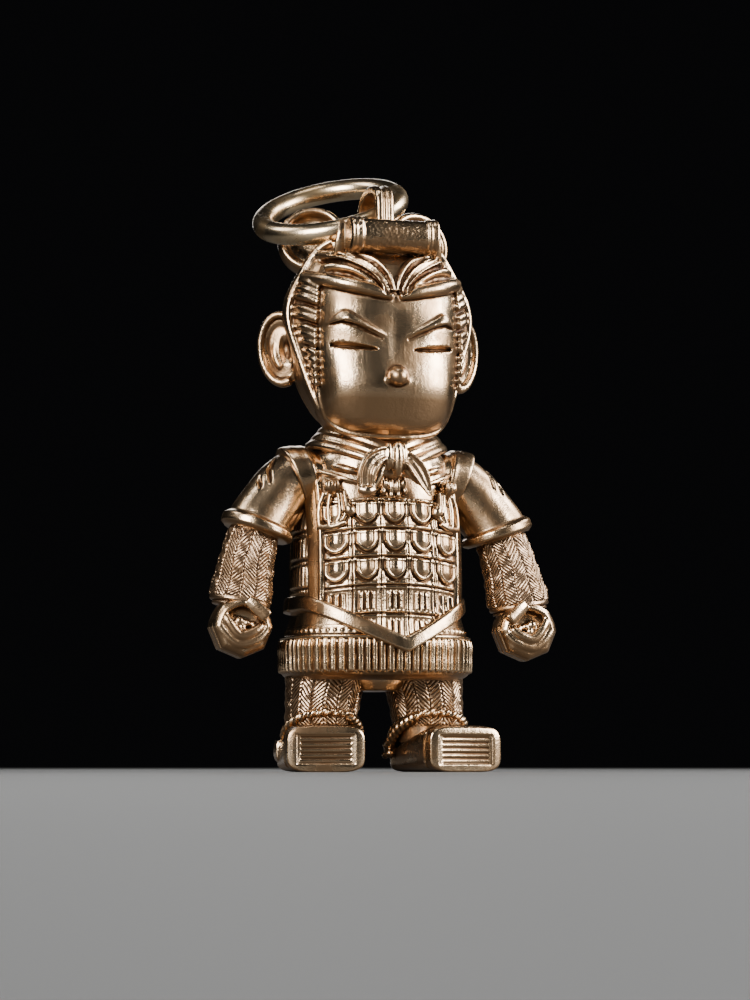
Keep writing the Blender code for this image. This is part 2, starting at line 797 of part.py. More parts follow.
def draw_toe_grooves(bm):
    """Level grooves across the upright front of each shoe."""
    for side in (-1, 1):
        turn = Matrix.Rotation(side * SHOE_SPLAY, 3, "Z")
        heel = Vector((side * 4.55, 3.2, 0))
        for row in range(4):
            z = 0.95 + 0.5 * row
            sections = []
            for x in (-2.3, 2.3):
                sections.append(
                    [
                        heel + turn @ Vector((x, -back, height))
                        for back, height in ((10.2, z - 0.2), (10.2, z + 0.2), (9.58, z))
                    ]
                )
            skin(bm, sections)


def draw_crotch(bm):
    skin(bm, [oval((0, 0.1, z), x, 2.6, 2.3, 12) for z, x in ((6.6, 1.9), (7.8, 3.4))])


def draw_body(bm):
    draw_torso(bm)
    draw_plates(bm)
    draw_flank_plates(bm)
    draw_bands(bm)
    draw_skirts(bm)
    draw_collar(bm)
    draw_bow(bm)
    draw_crotch(bm)
    for side in (-1, 1):
        draw_arm(bm, side)
        draw_fist(bm, side)
        draw_leg(bm, side)


def draw_head_forms(bm):
    draw_face_cushion(bm)
    draw_face(bm)
    draw_locks(bm)
    draw_temples(bm)
    draw_strap(bm)
    draw_cap(bm)
    draw_curls(bm)
    draw_bail(bm)


def brass(name, colour, roughness):
    material = bpy.data.materials.new(name)
    material.use_nodes = True
    shader = material.node_tree.nodes["Principled BSDF"]
    shader.inputs["Base Color"].default_value = colour
    shader.inputs["Metallic"].default_value = 1.0
    shader.inputs["Roughness"].default_value = roughness
    return material


def make_figure():
    """The whole casting as one solid."""
    figure = solid("warrior_figure", draw_hair)
    ears = solid("ears", draw_ears)
    combine(ears, solid("ear_hollows", draw_ear_hollows), "DIFFERENCE")

    def draw_rest(bm):
        draw_head_forms(bm)
        draw_body(bm)
        bm.from_mesh(ears.data)

    combine(figure, solid("rest", draw_rest), "UNION")
    bpy.data.objects.remove(ears)
    combine(figure, solid("eye_slits", draw_eye_slits), "DIFFERENCE")
    combine(figure, solid("grips", draw_grips), "DIFFERENCE")
    combine(figure, solid("toe_grooves", draw_toe_grooves), "DIFFERENCE")
    fill_pockets(figure)
    thin_out(figure)
    figure.data.transform(Matrix.Scale(SHARE, 4))
    return figure


# The ring leans back: its near side passes through the bail and its far side stands up
# behind it. The two directions span its plane, and the angle says where the bail is.
RING_TILT = ((0.9385, -0.2963, 0.177), (0.186, 0.866, 0.465))
RING_THROUGH_ANGLE = math.radians(-47.6)
RING_THROUGH_Z = 45.3
RING_STEPS = 36
WIRE_SIDES = 8


def make_ring():
    """The loose ring: round wire, leaning back over the cap's right curl."""
    first = Vector(RING_TILT[0]).normalized()
    second = Vector(RING_TILT[1])
    second = (second - first * second.dot(first)).normalized()
    radius = (RING_OUTER_DIAMETER - RING_WIRE_DIAMETER) / 2
    wire = RING_WIRE_DIAMETER / 2
    outward = first * math.cos(RING_THROUGH_ANGLE) + second * math.sin(RING_THROUGH_ANGLE)
    onward = second * math.cos(RING_THROUGH_ANGLE) - first * math.sin(RING_THROUGH_ANGLE)
    front_limb = bail_point(0, 0.5).y * SHARE + BAIL_STRAP_THICKNESS / 2
    slant = abs(onward.y / onward.x) * BAIL_STRAP_WIDTH / 2
    through = Vector((0, front_limb + slant + wire + RING_PLAY, RING_THROUGH_Z * SHARE))
    middle = through - radius * outward
    axis = first.cross(second)

    def draw(bm):
        sections = []
        for step in range(RING_STEPS):
            angle = math.tau * step / RING_STEPS
            ray = first * math.cos(angle) + second * math.sin(angle)
            centre = middle + ray * radius
            sections.append(
                [
                    (centre + (ray * math.cos(a) + axis * math.sin(a)) * wire) / SHARE
                    for a in (math.tau * (k + 0.5) / WIRE_SIDES for k in range(WIRE_SIDES))
                ]
            )
        skin(bm, sections, hoop=True)

    ring = solid("jump_ring", draw)
    ring.data.transform(Matrix.Scale(SHARE, 4))
    return ring


def centre_on_origin(pieces):
    """Puts the origin under the middle of the whole, at the soles."""
    corners = [vertex.co for piece in pieces for vertex in piece.data.vertices]
    low = [min(corner[axis] for corner in corners) for axis in range(3)]
    high = [max(corner[axis] for corner in corners) for axis in range(3)]
    shift = Vector((-(low[0] + high[0]) / 2, -(low[1] + high[1]) / 2, -low[2]))
    for piece in pieces:
        piece.location = shift


for old in list(bpy.data.objects):
    bpy.data.objects.remove(old)

figure = make_figure()
figure.data.materials.clear()
figure.data.materials.append(brass("antique_brass", BRASS_COLOUR, 0.36))
ring = make_ring()
ring.data.materials.append(brass("plain_brass", RING_COLOUR, 0.28))
centre_on_origin([figure, ring])
for piece in (figure, ring):
    piece.data.shade_smooth()
    piece.data.set_sharp_from_angle(angle=math.radians(35))
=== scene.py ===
# A small cast brass warrior figurine with a loose wire ring in the bail on its cap.
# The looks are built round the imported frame: one carved skin for each part of the casting,
# drawn in carving units, of which the figure is forty-eight high, and then put in its place.

import math

import bmesh
import bpy
import numpy as np
from mathutils import Matrix, Vector, noise


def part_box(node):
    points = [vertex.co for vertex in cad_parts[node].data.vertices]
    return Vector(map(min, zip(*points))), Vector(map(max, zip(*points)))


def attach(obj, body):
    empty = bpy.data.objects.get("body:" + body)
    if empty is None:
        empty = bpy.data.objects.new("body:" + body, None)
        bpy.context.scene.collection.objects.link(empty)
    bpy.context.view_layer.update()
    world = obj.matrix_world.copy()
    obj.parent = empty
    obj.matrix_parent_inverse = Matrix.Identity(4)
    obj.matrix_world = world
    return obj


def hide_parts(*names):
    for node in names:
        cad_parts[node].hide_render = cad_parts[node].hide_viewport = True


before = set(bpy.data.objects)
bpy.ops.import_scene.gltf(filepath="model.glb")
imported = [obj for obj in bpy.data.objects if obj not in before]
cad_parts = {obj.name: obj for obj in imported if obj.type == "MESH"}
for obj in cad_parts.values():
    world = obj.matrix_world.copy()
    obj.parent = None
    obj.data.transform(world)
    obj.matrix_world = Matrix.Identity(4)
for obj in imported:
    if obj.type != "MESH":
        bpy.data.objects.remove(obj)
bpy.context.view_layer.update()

# Units of the carving. The figure's box gives the size of one unit, and its toe caps,
# which stand 7.1 units before its upright axis, give the place of that axis.
UNITS_HIGH = 48
TOE_REACH = 7.1
figure_low, figure_high = (Vector(corner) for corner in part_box("warrior_figure"))
unit = (figure_high.z - figure_low.z) / UNITS_HIGH
axis_y = figure_low.y + TOE_REACH * unit
into_frame = Matrix.Translation((0, axis_y, figure_low.z)) @ Matrix.Scale(unit, 4)

# Camera: a long lens at the height of the soles, 15.5 degrees to the figure's right.
CAMERA_TURN = math.radians(-15.5)
CAMERA_DISTANCE = 0.2258
CAMERA_HEIGHT = 0.0005
AIM_HEIGHT = 0.0221

camera = bpy.data.cameras.new("camera")
camera.lens = 100
camera.sensor_width = 36
camera.clip_start = 0.005
camera_place = bpy.data.objects.new("camera", camera)
bpy.context.collection.objects.link(camera_place)
camera_place.location = (
    math.sin(CAMERA_TURN) * CAMERA_DISTANCE,
    axis_y - math.cos(CAMERA_TURN) * CAMERA_DISTANCE,
    CAMERA_HEIGHT,
)
aim = Vector((0, axis_y, AIM_HEIGHT)) - camera_place.location
camera_place.rotation_euler = aim.to_track_quat("-Z", "Y").to_euler()
bpy.context.scene.camera = camera_place

# Studio: a plain floor, pale grey under the lamps, and soft boxes round the figure in a dark
# room: two in front, with a dark gap between them for the metal to mirror, two high at the
# sides, and weak ones overhead and behind.
LAMP_AIM_HEIGHT = 0.02
ROOM_COLOUR = (0.003, 0.003, 0.0034, 1)
FLOOR_COLOUR = (0.047, 0.047, 0.046, 1)
FLOOR_RADIUS = 1.2
# Each box's turn and height in degrees, its distance, width, length and power.
SOFT_BOXES = (
    ("left_box", -46, 22.5, 0.26, 0.13, 0.14, 1.6),
    ("right_box", 58, 21.5, 0.26, 0.14, 0.15, 1.95),
    ("left_side_box", -98, 46, 0.26, 0.08, 0.08, 0.2),
    ("right_side_box", 98, 38, 0.26, 0.1, 0.1, 0.6),
    ("top_box", -20, 78, 0.26, 0.05, 0.05, 0.08),
    ("back_box", 170, 24, 0.28, 0.08, 0.1, 0.1),
)
for name, turn, height, away, wide, high, power in SOFT_BOXES:
    lamp = bpy.data.lights.new(name, "AREA")
    lamp.shape = "RECTANGLE"
    lamp.size = wide
    lamp.size_y = high
    lamp.energy = power
    place = bpy.data.objects.new(name, lamp)
    bpy.context.collection.objects.link(place)
    turn, height = math.radians(turn), math.radians(height)
    level = math.cos(height)
    ray = Vector((math.sin(turn) * level, -math.cos(turn) * level, math.sin(height)))
    place.location = Vector((0, axis_y, LAMP_AIM_HEIGHT)) + ray * away
    place.rotation_euler = ray.to_track_quat("Z", "Y").to_euler()

room = bpy.data.worlds.new("studio_room")
room.use_nodes = True
room.node_tree.nodes["Background"].inputs["Color"].default_value = ROOM_COLOUR
bpy.context.scene.world = room

bm = bmesh.new()
bmesh.ops.create_circle(bm, cap_ends=True, segments=96, radius=FLOOR_RADIUS)
floor_mesh = bpy.data.meshes.new("floor")
bm.to_mesh(floor_mesh)
bm.free()
floor = bpy.data.objects.new("floor", floor_mesh)
bpy.context.collection.objects.link(floor)
floor.location.z = figure_low.z
floor_paint = bpy.data.materials.new("pale_floor")
floor_paint.use_nodes = True
floor_shader = floor_paint.node_tree.nodes["Principled BSDF"]
floor_shader.inputs["Base Color"].default_value = FLOOR_COLOUR
floor_shader.inputs["Roughness"].default_value = 0.75
floor_mesh.materials.append(floor_paint)


# Head: the face, the hair combed back from it, the ears and the strap that frames it. It is part
# of the one brass casting, poured round a carved wax, rubbed bright on what stands out and painted
# brown in the hollows, partly patina and partly painted shade. It replaces the frame's plain head.
HAIR_HALF_WIDTH = 7.35
HAIR_FRONT = 4.9
HAIR_BACK = 6.6
HAIR_MIDDLE_Y = -0.3
HAIR_POWER = 2.3
# At each height, the hair's shares of its half width, its front and its back.
HAIR_OUTLINE = (
    (27.2, 0.4, 0.3, 0.45),
    (28.5, 0.62, 0.5, 0.68),
    (30.2, 0.78, 0.7, 0.86),
    (32.6, 0.92, 0.9, 0.97),
    (35.6, 1.0, 1.0, 1.0),
    (38.2, 0.98, 0.97, 0.97),
    (39.9, 0.9, 0.9, 0.88),
    (41.3, 0.8, 0.82, 0.75),
    (42.2, 0.65, 0.68, 0.6),
    (42.7, 0.52, 0.56, 0.5),
)
# At each height, the face's half width and the y of its front.
FACE_OUTLINE = (
    (26.8, 2.4, -4.7),
    (27.15, 3.9, -5.3),
    (27.7, 4.75, -5.7),
    (28.4, 5.25, -5.98),
    (29.4, 5.6, -6.22),
    (30.9, 5.85, -6.4),
    (33.4, 6.0, -6.45),
    (36.2, 6.0, -6.35),
    (38.4, 5.85, -6.0),
    (40.2, 5.6, -5.5),
    (41.5, 4.8, -4.7),
    (42.3, 3.6, -3.7),
)
FACE_POWER = 2.7
FACE_MIDDLE_Y = -1.9
FACE_BACK = 2.2
# At each height, the x and y of the strap's middle.
STRAP_LINE = (
    (26.75, 0.0, -4.6),
    (26.85, 2.4, -4.4),
    (27.4, 4.1, -3.8),
    (28.6, 5.1, -3.0),
    (30.2, 5.75, -2.3),
    (33.2, 6.65, -1.5),
    (36.2, 7.5, -1.1),
    (38.2, 7.35, -1.0),
    (40.3, 6.3, -1.0),
    (41.2, 5.8, -1.0),
    (42.2, 5.1, -1.2),
    (42.8, 4.2, -1.7),
)
STRAP_UNDER_CHIN = 0.55
# The strap's section round that middle, outwards and back, with the bead in front.
STRAP_SECTION = (
    (-0.4, -0.2),
    (-0.12, -0.5),
    (0.16, -0.58),
    (0.36, -0.42),
    (0.4, -0.12),
    (0.46, 0.5),
    (0.3, 0.62),
    (-0.5, 0.6),
)
# Each lock's points, from the parting outwards, as (x, z), and its greatest radius.
LOCK_LINES = (
    ((0.16, 38.3), (0.32, 39.0), (0.58, 39.7), (1.0, 40.4), (1.7, 41.05), (2.8, 41.5)),
    ((0.42, 38.2), (0.74, 39.0), (1.25, 39.8), (2.0, 40.55), (3.1, 41.15), (4.2, 41.5)),
    ((0.7, 38.15), (1.15, 38.9), (1.85, 39.75), (2.9, 40.5), (4.0, 41.15), (5.2, 41.85)),
    ((1.0, 38.2), (1.65, 38.95), (2.5, 39.6), (3.4, 40.1), (4.4, 40.35), (5.2, 40.4)),
    ((0.3, 37.85), (1.1, 38.1), (2.2, 38.4), (3.8, 38.8), (5.4, 39.35), (6.5, 39.95)),
)
LOCK_RADII = (0.3, 0.38, 0.5, 0.36, 0.58)
TEMPLE_LOW_Z = 29.0
TEMPLE_HIGH_Z = 40.6
CHEEK_EDGE_HEIGHTS = (31.4, 30.8, 30.0, 29.2, 28.3)
# Heights of the short locks at the temple, which lie in bunches.
TEMPLE_RIBS = (39.2, 38.6, 38.0, 37.05, 36.5, 35.55, 35.0, 34.45, 33.65, 33.0, 32.4, 31.75, 31.15)
# How far the cheeks and the forehead swell at each height, and the eyes lie back.
FACE_SWELL = (
    (26.5, 0.0),
    (28.4, 0.1),
    (30.6, 0.34),
    (32.2, 0.14),
    (34.0, -0.14),
    (35.4, -0.04),
    (36.8, 0.14),
    (38.6, 0.04),
    (41.0, 0.0),
)
EYE_X = 3.3
EYE_Z = 33.8
EYE_HALF_WIDTH = 1.8
EYE_DEPTH = 0.62
FROWN_DEPTH = 0.03
FOREHEAD_DEPTH = 0.07
LOCK_GROOVE_DEPTH = 0.374
BROW_GROOVE_DEPTH = 0.102
NOSE_Z = 31.4
NOSE_RADII = (0.84, 0.86, 0.82)
NOSE_WING_RADII = (0.32, 0.38, 0.3)
# The brow's crest and the crease under it, as (x, z), and the crest's height along it.
BROW_LINE = ((0.8, 34.7), (2.2, 35.35), (3.4, 35.9), (4.1, 36.15), (4.75, 36.0), (5.4, 35.65))
BROW_SWELL = ((0, 0.06), (0.3, 0.62), (0.62, 0.98), (0.78, 0.8), (1, 0.06))
UNDER_BROW = ((1.1, 34.45), (2.2, 34.9), (3.4, 35.45), (4.3, 35.7), (5.1, 35.6))
# The brow's section over its crest, back and up, in shares of its height.
BROW_CREST = ((-0.1, -0.42), (-0.6, -0.4), (-0.68, -0.16), (-0.36, 0.4))
EAR_PLACE = (7.6, 1.1, 34.4)
EAR_SHELL_RADII = (1.9, 0.62, 2.95)
EAR_BOWL_RADII = (1.4, 2.4)
EAR_RIM_RADII = (1.78, 2.82)
EAR_FOLD = ((0.35, 0.05, 1.3), (0.62, 0.0, 0.3), (0.62, -0.05, -0.7), (0.3, -0.1, -1.5))
ACROSS, BACK, UP = Vector((1, 0, 0)), Vector((0, 1, 0)), Vector((0, 0, 1))


def flowing(stations, t):
    """Smooth values at t, a number or an array, through rows of (t, value, ...)."""
    table = np.array(stations, dtype=float)
    knots, values = table[:, 0], table[:, 1:]
    slopes = np.gradient(values, knots, axis=0)
    t = np.clip(np.asarray(t, dtype=float), knots[0], knots[-1])
    left = np.clip(np.searchsorted(knots, t, side="right") - 1, 0, len(knots) - 2)
    width = (knots[left + 1] - knots[left])[..., None]
    share = (t - knots[left])[..., None] / width
    start, end = values[left], values[left + 1]
    return (
        start * (2 * share**3 - 3 * share**2 + 1)
        + end * (3 * share**2 - 2 * share**3)
        + slopes[left] * (share**3 - 2 * share**2 + share) * width
        + slopes[left + 1] * (share**3 - share**2) * width
    )


def along(rows, count):
    """Smooth values at even steps through rows of values."""
    stations = [(index, *row) for index, row in enumerate(rows)]
    return flowing(stations, np.linspace(0, len(rows) - 1, count))


def through(points, count):
    """Points along a smooth curve through the given ones."""
    return [Vector(spot) for spot in along(points, count)]


def levels(rows, count):
    """Even heights from the first row of a table to its last."""
    return np.linspace(rows[0][0], rows[-1][0], count)


def heading(path, index):
    """The way that a path runs at one of its points."""
    return path[min(index + 1, len(path) - 1)] - path[max(index - 1, 0)]


def oval(centre, across, rise, half_across, half_rise, power=2.0, count=24):
    """A section of points, round at power 2 and squarer above it."""
    points = []
    for step in range(count):
        angle = math.tau * (step + 0.5) / count
        c, s = math.cos(angle), math.sin(angle)
        x = half_across * math.copysign(abs(c) ** (2 / power), c)
        y = half_rise * math.copysign(abs(s) ** (2 / power), s)
        points.append(centre + across * x + rise * y)
    return points


def loft(bm, sections, hoop=False):
    """Extrudes a face from section to section. A hoop's two ends are joined."""
    form = bmesh.new()
    first = form.faces.new([form.verts.new(point) for point in sections[0]])
    face = first
    for section in list(sections[1:]) + ([sections[0]] if hoop else []):
        region = [face, *face.edges, *face.verts]
        made = bmesh.ops.extrude_face_region(form, geom=region)["geom"]
        face = next(part for part in made if isinstance(part, bmesh.types.BMFace))
        for vert, point in zip(face.verts, section):
            vert.co = point
    if hoop:
        bmesh.ops.delete(form, geom=[first, face], context="FACES_ONLY")
        bmesh.ops.remove_doubles(form, verts=form.verts, dist=0.0001)
    form.normal_update()
    bmesh.ops.recalc_face_normals(form, faces=form.faces)
    mesh = bpy.data.meshes.new("form")
    form.to_mesh(mesh)
    form.free()
    bm.from_mesh(mesh)
    bpy.data.meshes.remove(mesh)


def bar(bm, points, radii, sides=12, count=18, flat=1.0, hint=BACK):
    """A bar along a smooth curve, its radius given by stations of (share, radius)."""
    path = through(points, count)
    sections = []
    for index, centre in enumerate(path):
        ahead = heading(path, index)
        across = ahead.cross(Vector(hint)).normalized()
        rise = across.cross(ahead).normalized()
        radius = float(flowing(radii, index / (count - 1))[0])
        sections.append(oval(centre, across, rise, radius, radius * flat, 2.0, sides))
    loft(bm, sections)


def egg(bm, centre, radii, turn=Matrix.Identity(3), fine=4):
    """An egg of three half axes, turned by a matrix."""
    place = Matrix.Translation(centre) @ turn.to_4x4() @ Matrix.Diagonal((*radii, 1))
    bmesh.ops.create_icosphere(bm, subdivisions=fine, radius=1, matrix=place)


def rise_between(low, high, values):
    """An array that eases from 0 at low to 1 at high."""
    share = np.clip((values - low) / (high - low), 0, 1)
    return share * share * (3 - 2 * share)


def read(mesh):
    """A mesh's points and their normals, as two arrays."""
    points = np.empty(len(mesh.vertices) * 3)
    normals = np.empty(len(mesh.vertices) * 3)
    mesh.vertices.foreach_get("co", points)
    mesh.vertices.foreach_get("normal", normals)
    return points.reshape(-1, 3), normals.reshape(-1, 3)


def settle(piece):
    """Applies a piece's modifiers to its mesh."""
    graph = bpy.context.evaluated_depsgraph_get()
    mesh = bpy.data.meshes.new_from_object(piece.evaluated_get(graph))
    piece.modifiers.clear()
    old = piece.data
    piece.data = mesh
    bpy.data.meshes.remove(old)


def sunken(piece, rounds):
    """How far each point lies below its surroundings, smoothed by so many rounds."""
    modifier = piece.modifiers.new("level", "SMOOTH")
    modifier.factor = 0.5
    modifier.iterations = rounds
    graph = bpy.context.evaluated_depsgraph_get()
    smoothed, _ = read(piece.evaluated_get(graph).data)
    points, normals = read(piece.data)
    piece.modifiers.clear()
    return ((smoothed - points) * normals).sum(axis=1)


def note_hollows(piece):
    """Notes how deep each point lies in grooves and in hollows, and how far it faces down."""
    _, normals = read(piece.data)
    notes = {"edge": sunken(piece, 5), "hollow": sunken(piece, 70), "under": -normals[:, 2]}
    for label, values in notes.items():
        attribute = piece.data.attributes.new(label, "FLOAT", "POINT")
        attribute.data.foreach_set("value", values.astype(np.float32))


def finish_piece(piece, name, metal):
    """Puts a piece of the casting in the frame and dresses it."""
    mesh = piece.data
    mesh.transform(into_frame)
    mesh.shade_smooth()
    mesh.name = name
    mesh.materials.append(metal)
    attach(piece, "root")
    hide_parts("warrior_figure")


def new_object(name, bm):
    """A linked object made from a bmesh."""
    mesh = bpy.data.meshes.new(name)
    bm.to_mesh(mesh)
    bm.free()
    piece = bpy.data.objects.new(name, mesh)
    bpy.context.collection.objects.link(piece)
    return piece


def split_faces(piece, chosen):
    """Splits the faces between chosen points in four, for finer carving."""
    bm = bmesh.new()
    bm.from_mesh(piece.data)
    points, _ = read(piece.data)
    inside = chosen(points)
    edges = [e for e in bm.edges if all(inside[vert.index] for vert in e.verts)]
    bmesh.ops.subdivide_edges(bm, edges=edges, cuts=1, use_grid_fill=True)
    bm.to_mesh(piece.data)
    bm.free()


def cast(name, draw, metal, voxel, rounding=2, carve=None, kept=0.5, finer=None):
    """Casts the forms of a piece as one skin, soft where they meet, then carves it.

    The share of its faces that is kept shows its relief and thins its plain parts.
    """
    bm = bmesh.new()
    draw(bm)
    piece = new_object(name, bm)
    skin = piece.modifiers.new("skin", "REMESH")
    skin.mode = "VOXEL"
    skin.voxel_size = voxel
    soften = piece.modifiers.new("soften", "SMOOTH")
    soften.factor = 0.5
    soften.iterations = rounding
    settle(piece)
    if finer:
        split_faces(piece, finer)
    if carve:
        points, normals = read(piece.data)
        piece.data.vertices.foreach_set("co", carve(points, normals).ravel())
    note_hollows(piece)
    thin = piece.modifiers.new("thin", "DECIMATE")
    thin.ratio = kept
    settle(piece)
    finish_piece(piece, name, metal)


def aged_brass_group():
    """The casting's colours: bright worn edges, brown hollows that are partly patina and partly
    painted shade, a painted shade on what faces down, soft stains and a fine grain.
    """
    group = bpy.data.node_groups.new("aged_brass", "ShaderNodeTree")
    for label, way, kind in (
        ("Polished", "INPUT", "NodeSocketColor"),
        ("Body", "INPUT", "NodeSocketColor"),
        ("Recess", "INPUT", "NodeSocketColor"),
        ("Shine", "INPUT", "NodeSocketFloat"),
        ("Grain", "INPUT", "NodeSocketFloat"),
        ("Reach", "INPUT", "NodeSocketFloat"),
        ("Color", "OUTPUT", "NodeSocketColor"),
        ("Roughness", "OUTPUT", "NodeSocketFloat"),
        ("Height", "OUTPUT", "NodeSocketFloat"),
    ):
        group.interface.new_socket(name=label, in_out=way, socket_type=kind)
    wire = group.links.new

    def node(kind, **settings):
        made = group.nodes.new(kind)
        for key, value in settings.items():
            setattr(made, key, value)
        return made

    def ranged(source, low, high, start=0.0, end=1.0):
        """Eases from start to end while the source goes from low to high."""
        made = node("ShaderNodeMapRange", interpolation_type="SMOOTHSTEP")
        limits = {"From Min": low, "From Max": high, "To Min": start, "To Max": end}
        for key, value in limits.items():
            made.inputs[key].default_value = value
        wire(source, made.inputs["Value"])
        return made.outputs["Result"]

    def worked(operation, first, second):
        made = node("ShaderNodeMath", operation=operation)
        for socket, value in zip(made.inputs, (first, second)):
            if isinstance(value, float):
                socket.default_value = value
            else:
                wire(value, socket)
        return made.outputs["Value"]

    def blended(factor, first, second):
        made = node("ShaderNodeMix", data_type="RGBA")
        for key, source in (("Factor", factor), ("A", first), ("B", second)):
            wire(source, made.inputs[key])
        return made.outputs["Result"]

    def noted(label):
        return node("ShaderNodeAttribute", attribute_name=label).outputs["Fac"]

    def stains(scale, detail, stretch=(1, 1, 1)):
        mapping = node("ShaderNodeMapping")
        mapping.inputs["Scale"].default_value = stretch
        wire(place.outputs["Object"], mapping.inputs["Vector"])
        made = node("ShaderNodeTexNoise")
        made.inputs["Scale"].default_value = scale
        made.inputs["Detail"].default_value = detail
        wire(mapping.outputs["Vector"], made.inputs["Vector"])
        return made.outputs["Fac"]

    start = node("NodeGroupInput")
    end = node("NodeGroupOutput")
    place = node("ShaderNodeTexCoord")
    polished, reach = start.outputs["Polished"], start.outputs["Reach"]
    # From patches of a few millimetres down to sand of a fraction of one.
    patches = stains(420.0, 4)
    mottle = stains(1900.0, 5)
    scratches = stains(2600.0, 3, (1, 1, 0.12))
    sand = stains(6500.0, 3)
    # Brown fills hollows and fine grooves, partly as patina and partly as painted shade; standing
    # edges are rubbed bright; tarnish lies in patches, and what faces down gets a painted shade of
    # the duller body colour.
    edge = noted("edge")
    # Painted shade and patina: hollows, and below them fine grooves, are painted dark brown.
    hollow_patina_and_painted_shade = ranged(worked("MULTIPLY", noted("hollow"), reach), 0.025, 0.13)
    hollow_patina_and_painted_shade = worked("MULTIPLY", hollow_patina_and_painted_shade, ranged(mottle, 0.2, 0.6, 0.7, 1))
    fine = ranged(worked("MULTIPLY", edge, reach), 0.006, 0.022)
    hollow_patina_and_painted_shade = worked("MAXIMUM", hollow_patina_and_painted_shade, worked("MULTIPLY", fine, 0.9))
    rubbed = ranged(edge, -0.004, -0.03)
    tarnish_and_underside_shade = ranged(patches, 0.38, 0.64, 0.0, 0.9)
    # Painted shade: points that face down are painted towards the duller body colour.
    tarnish_and_underside_shade = worked("MAXIMUM", tarnish_and_underside_shade, ranged(noted("under"), 0.02, 0.42, 0.0, 1.25))
    colour = blended(tarnish_and_underside_shade, polished, start.outputs["Body"])
    colour = blended(worked("MULTIPLY", rubbed, 0.8), colour, polished)
    colour = blended(hollow_patina_and_painted_shade, colour, start.outputs["Recess"])
    rough = worked("ADD", start.outputs["Shine"], worked("MULTIPLY", tarnish_and_underside_shade, 0.1))
    rough = worked("ADD", rough, worked("MULTIPLY", hollow_patina_and_painted_shade, 0.22))
    rough = worked("SUBTRACT", rough, worked("MULTIPLY", rubbed, 0.05))
    height = worked("MULTIPLY", scratches, 0.5)
    for grain in (mottle, sand):
        height = worked("ADD", height, worked("MULTIPLY", grain, 0.5))
    wire(colour, end.inputs["Color"])
    wire(rough, end.inputs["Roughness"])
    wire(worked("MULTIPLY", height, start.outputs["Grain"]), end.inputs["Height"])
    return group


aged_brass = aged_brass_group()


PALE = (0.58, 0.41, 0.25, 1)
HONEY = (0.29, 0.175, 0.092, 1)
# BROWN is painted into hollows and grooves: partly patina, partly painted shade.
BROWN = (0.034, 0.013, 0.005, 1)


def brass(name, polished, body, shine, relief, reach=1.0, grain=1.0):
    """A brass of two colours, bright and dull, with brown in its hollows, partly patina and partly
    painted shade.

    Shine is its roughness, relief its grain's height in metres, and reach how far the brown
    comes out of the hollows.
    """
    metal = bpy.data.materials.new(name)
    metal.use_nodes = True
    nodes, links = metal.node_tree.nodes, metal.node_tree.links
    shader = nodes["Principled BSDF"]
    shader.inputs["Metallic"].default_value = 1.0
    age = nodes.new("ShaderNodeGroup")
    age.node_tree = aged_brass
    for label, value in (
        ("Polished", polished),
        ("Body", body),
        ("Recess", BROWN),
        ("Shine", shine),
        ("Grain", grain),
        ("Reach", reach),
    ):
        age.inputs[label].default_value = value
    bump = nodes.new("ShaderNodeBump")
    bump.inputs["Strength"].default_value = 1.0
    bump.inputs["Distance"].default_value = relief
    links.new(age.outputs["Color"], shader.inputs["Base Color"])
    links.new(age.outputs["Roughness"], shader.inputs["Roughness"])
    links.new(age.outputs["Height"], bump.inputs["Height"])
    links.new(bump.outputs["Normal"], shader.inputs["Normal"])
    return metal


combed_brass = brass("combed_brass", PALE, HONEY, shine=0.22, relief=0.00003, reach=1.8)


def depth_at(x, half, power):
    """How far a squarish section reaches at x, as a share of its depth."""
    return (1 - np.clip(np.abs(x) / half, 0, 1) ** power) ** (1 / power)


def head_front(x, z):
    """The y of the front of the face and hair at a place seen from the front."""
    half, front = flowing(FACE_OUTLINE, z)
    cushion = FACE_MIDDLE_Y + (front - FACE_MIDDLE_Y) * depth_at(x, half, FACE_POWER)
    width, front, _ = flowing(HAIR_OUTLINE, z)
    depth = depth_at(x, HAIR_HALF_WIDTH * width, HAIR_POWER)
    hair = HAIR_MIDDLE_Y - HAIR_FRONT * front * depth
    return float(min(cushion, hair)) if abs(x) < half else float(hair)


def split_oval(middle_y, half, front, back, power, z):
    """A level section whose front and back halves have their own depth."""
    ring = oval(Vector((0, middle_y, z)), ACROSS, BACK, half, 1.0, power, 64)
    for point in ring:
        offset = point.y - middle_y
        point.y = middle_y + offset * (front if offset < 0 else back)
    return ring


def temple_plan(z, proud):
    """A level section of the hair between the face and the strap, on the figure's left."""
    half, _ = flowing(FACE_OUTLINE, z)
    strap_x, strap_y = flowing(STRAP_LINE, z)
    face_x = half * 0.95
    face_y = head_front(face_x, z)
    return (
        (face_x, face_y - proud * 0.5),
        ((face_x + strap_x) / 2 + proud * 0.5, (face_y + strap_y) / 2 - 0.2 - proud),
        (strap_x - 0.15 + proud * 0.3, strap_y - 0.1 - proud * 0.5),
        (strap_x - 1.6, strap_y + 0.5),
        (half * 0.6, -3.0),
    )


def draw_head(bm):
    """The hair's round, the flatter cushion of the face before it, and what stands on them."""
    sections = []
    for z in levels(HAIR_OUTLINE, 30):
        half, front, back = flowing(HAIR_OUTLINE, z) * (HAIR_HALF_WIDTH, HAIR_FRONT, HAIR_BACK)
        sections.append(split_oval(HAIR_MIDDLE_Y, half, front, back, HAIR_POWER, z))
    loft(bm, sections)
    sections = []
    for z in levels(FACE_OUTLINE, 38):
        half, front = flowing(FACE_OUTLINE, z)
        depth = FACE_MIDDLE_Y - front
        sections.append(split_oval(FACE_MIDDLE_Y, half, depth, FACE_BACK, FACE_POWER, z))
    loft(bm, sections)
    draw_nose(bm)
    for side in (-1, 1):
        draw_brow(bm, side)
        draw_locks(bm, side)
        draw_temple(bm, side)
        draw_ear(bm, side)
    draw_strap(bm)


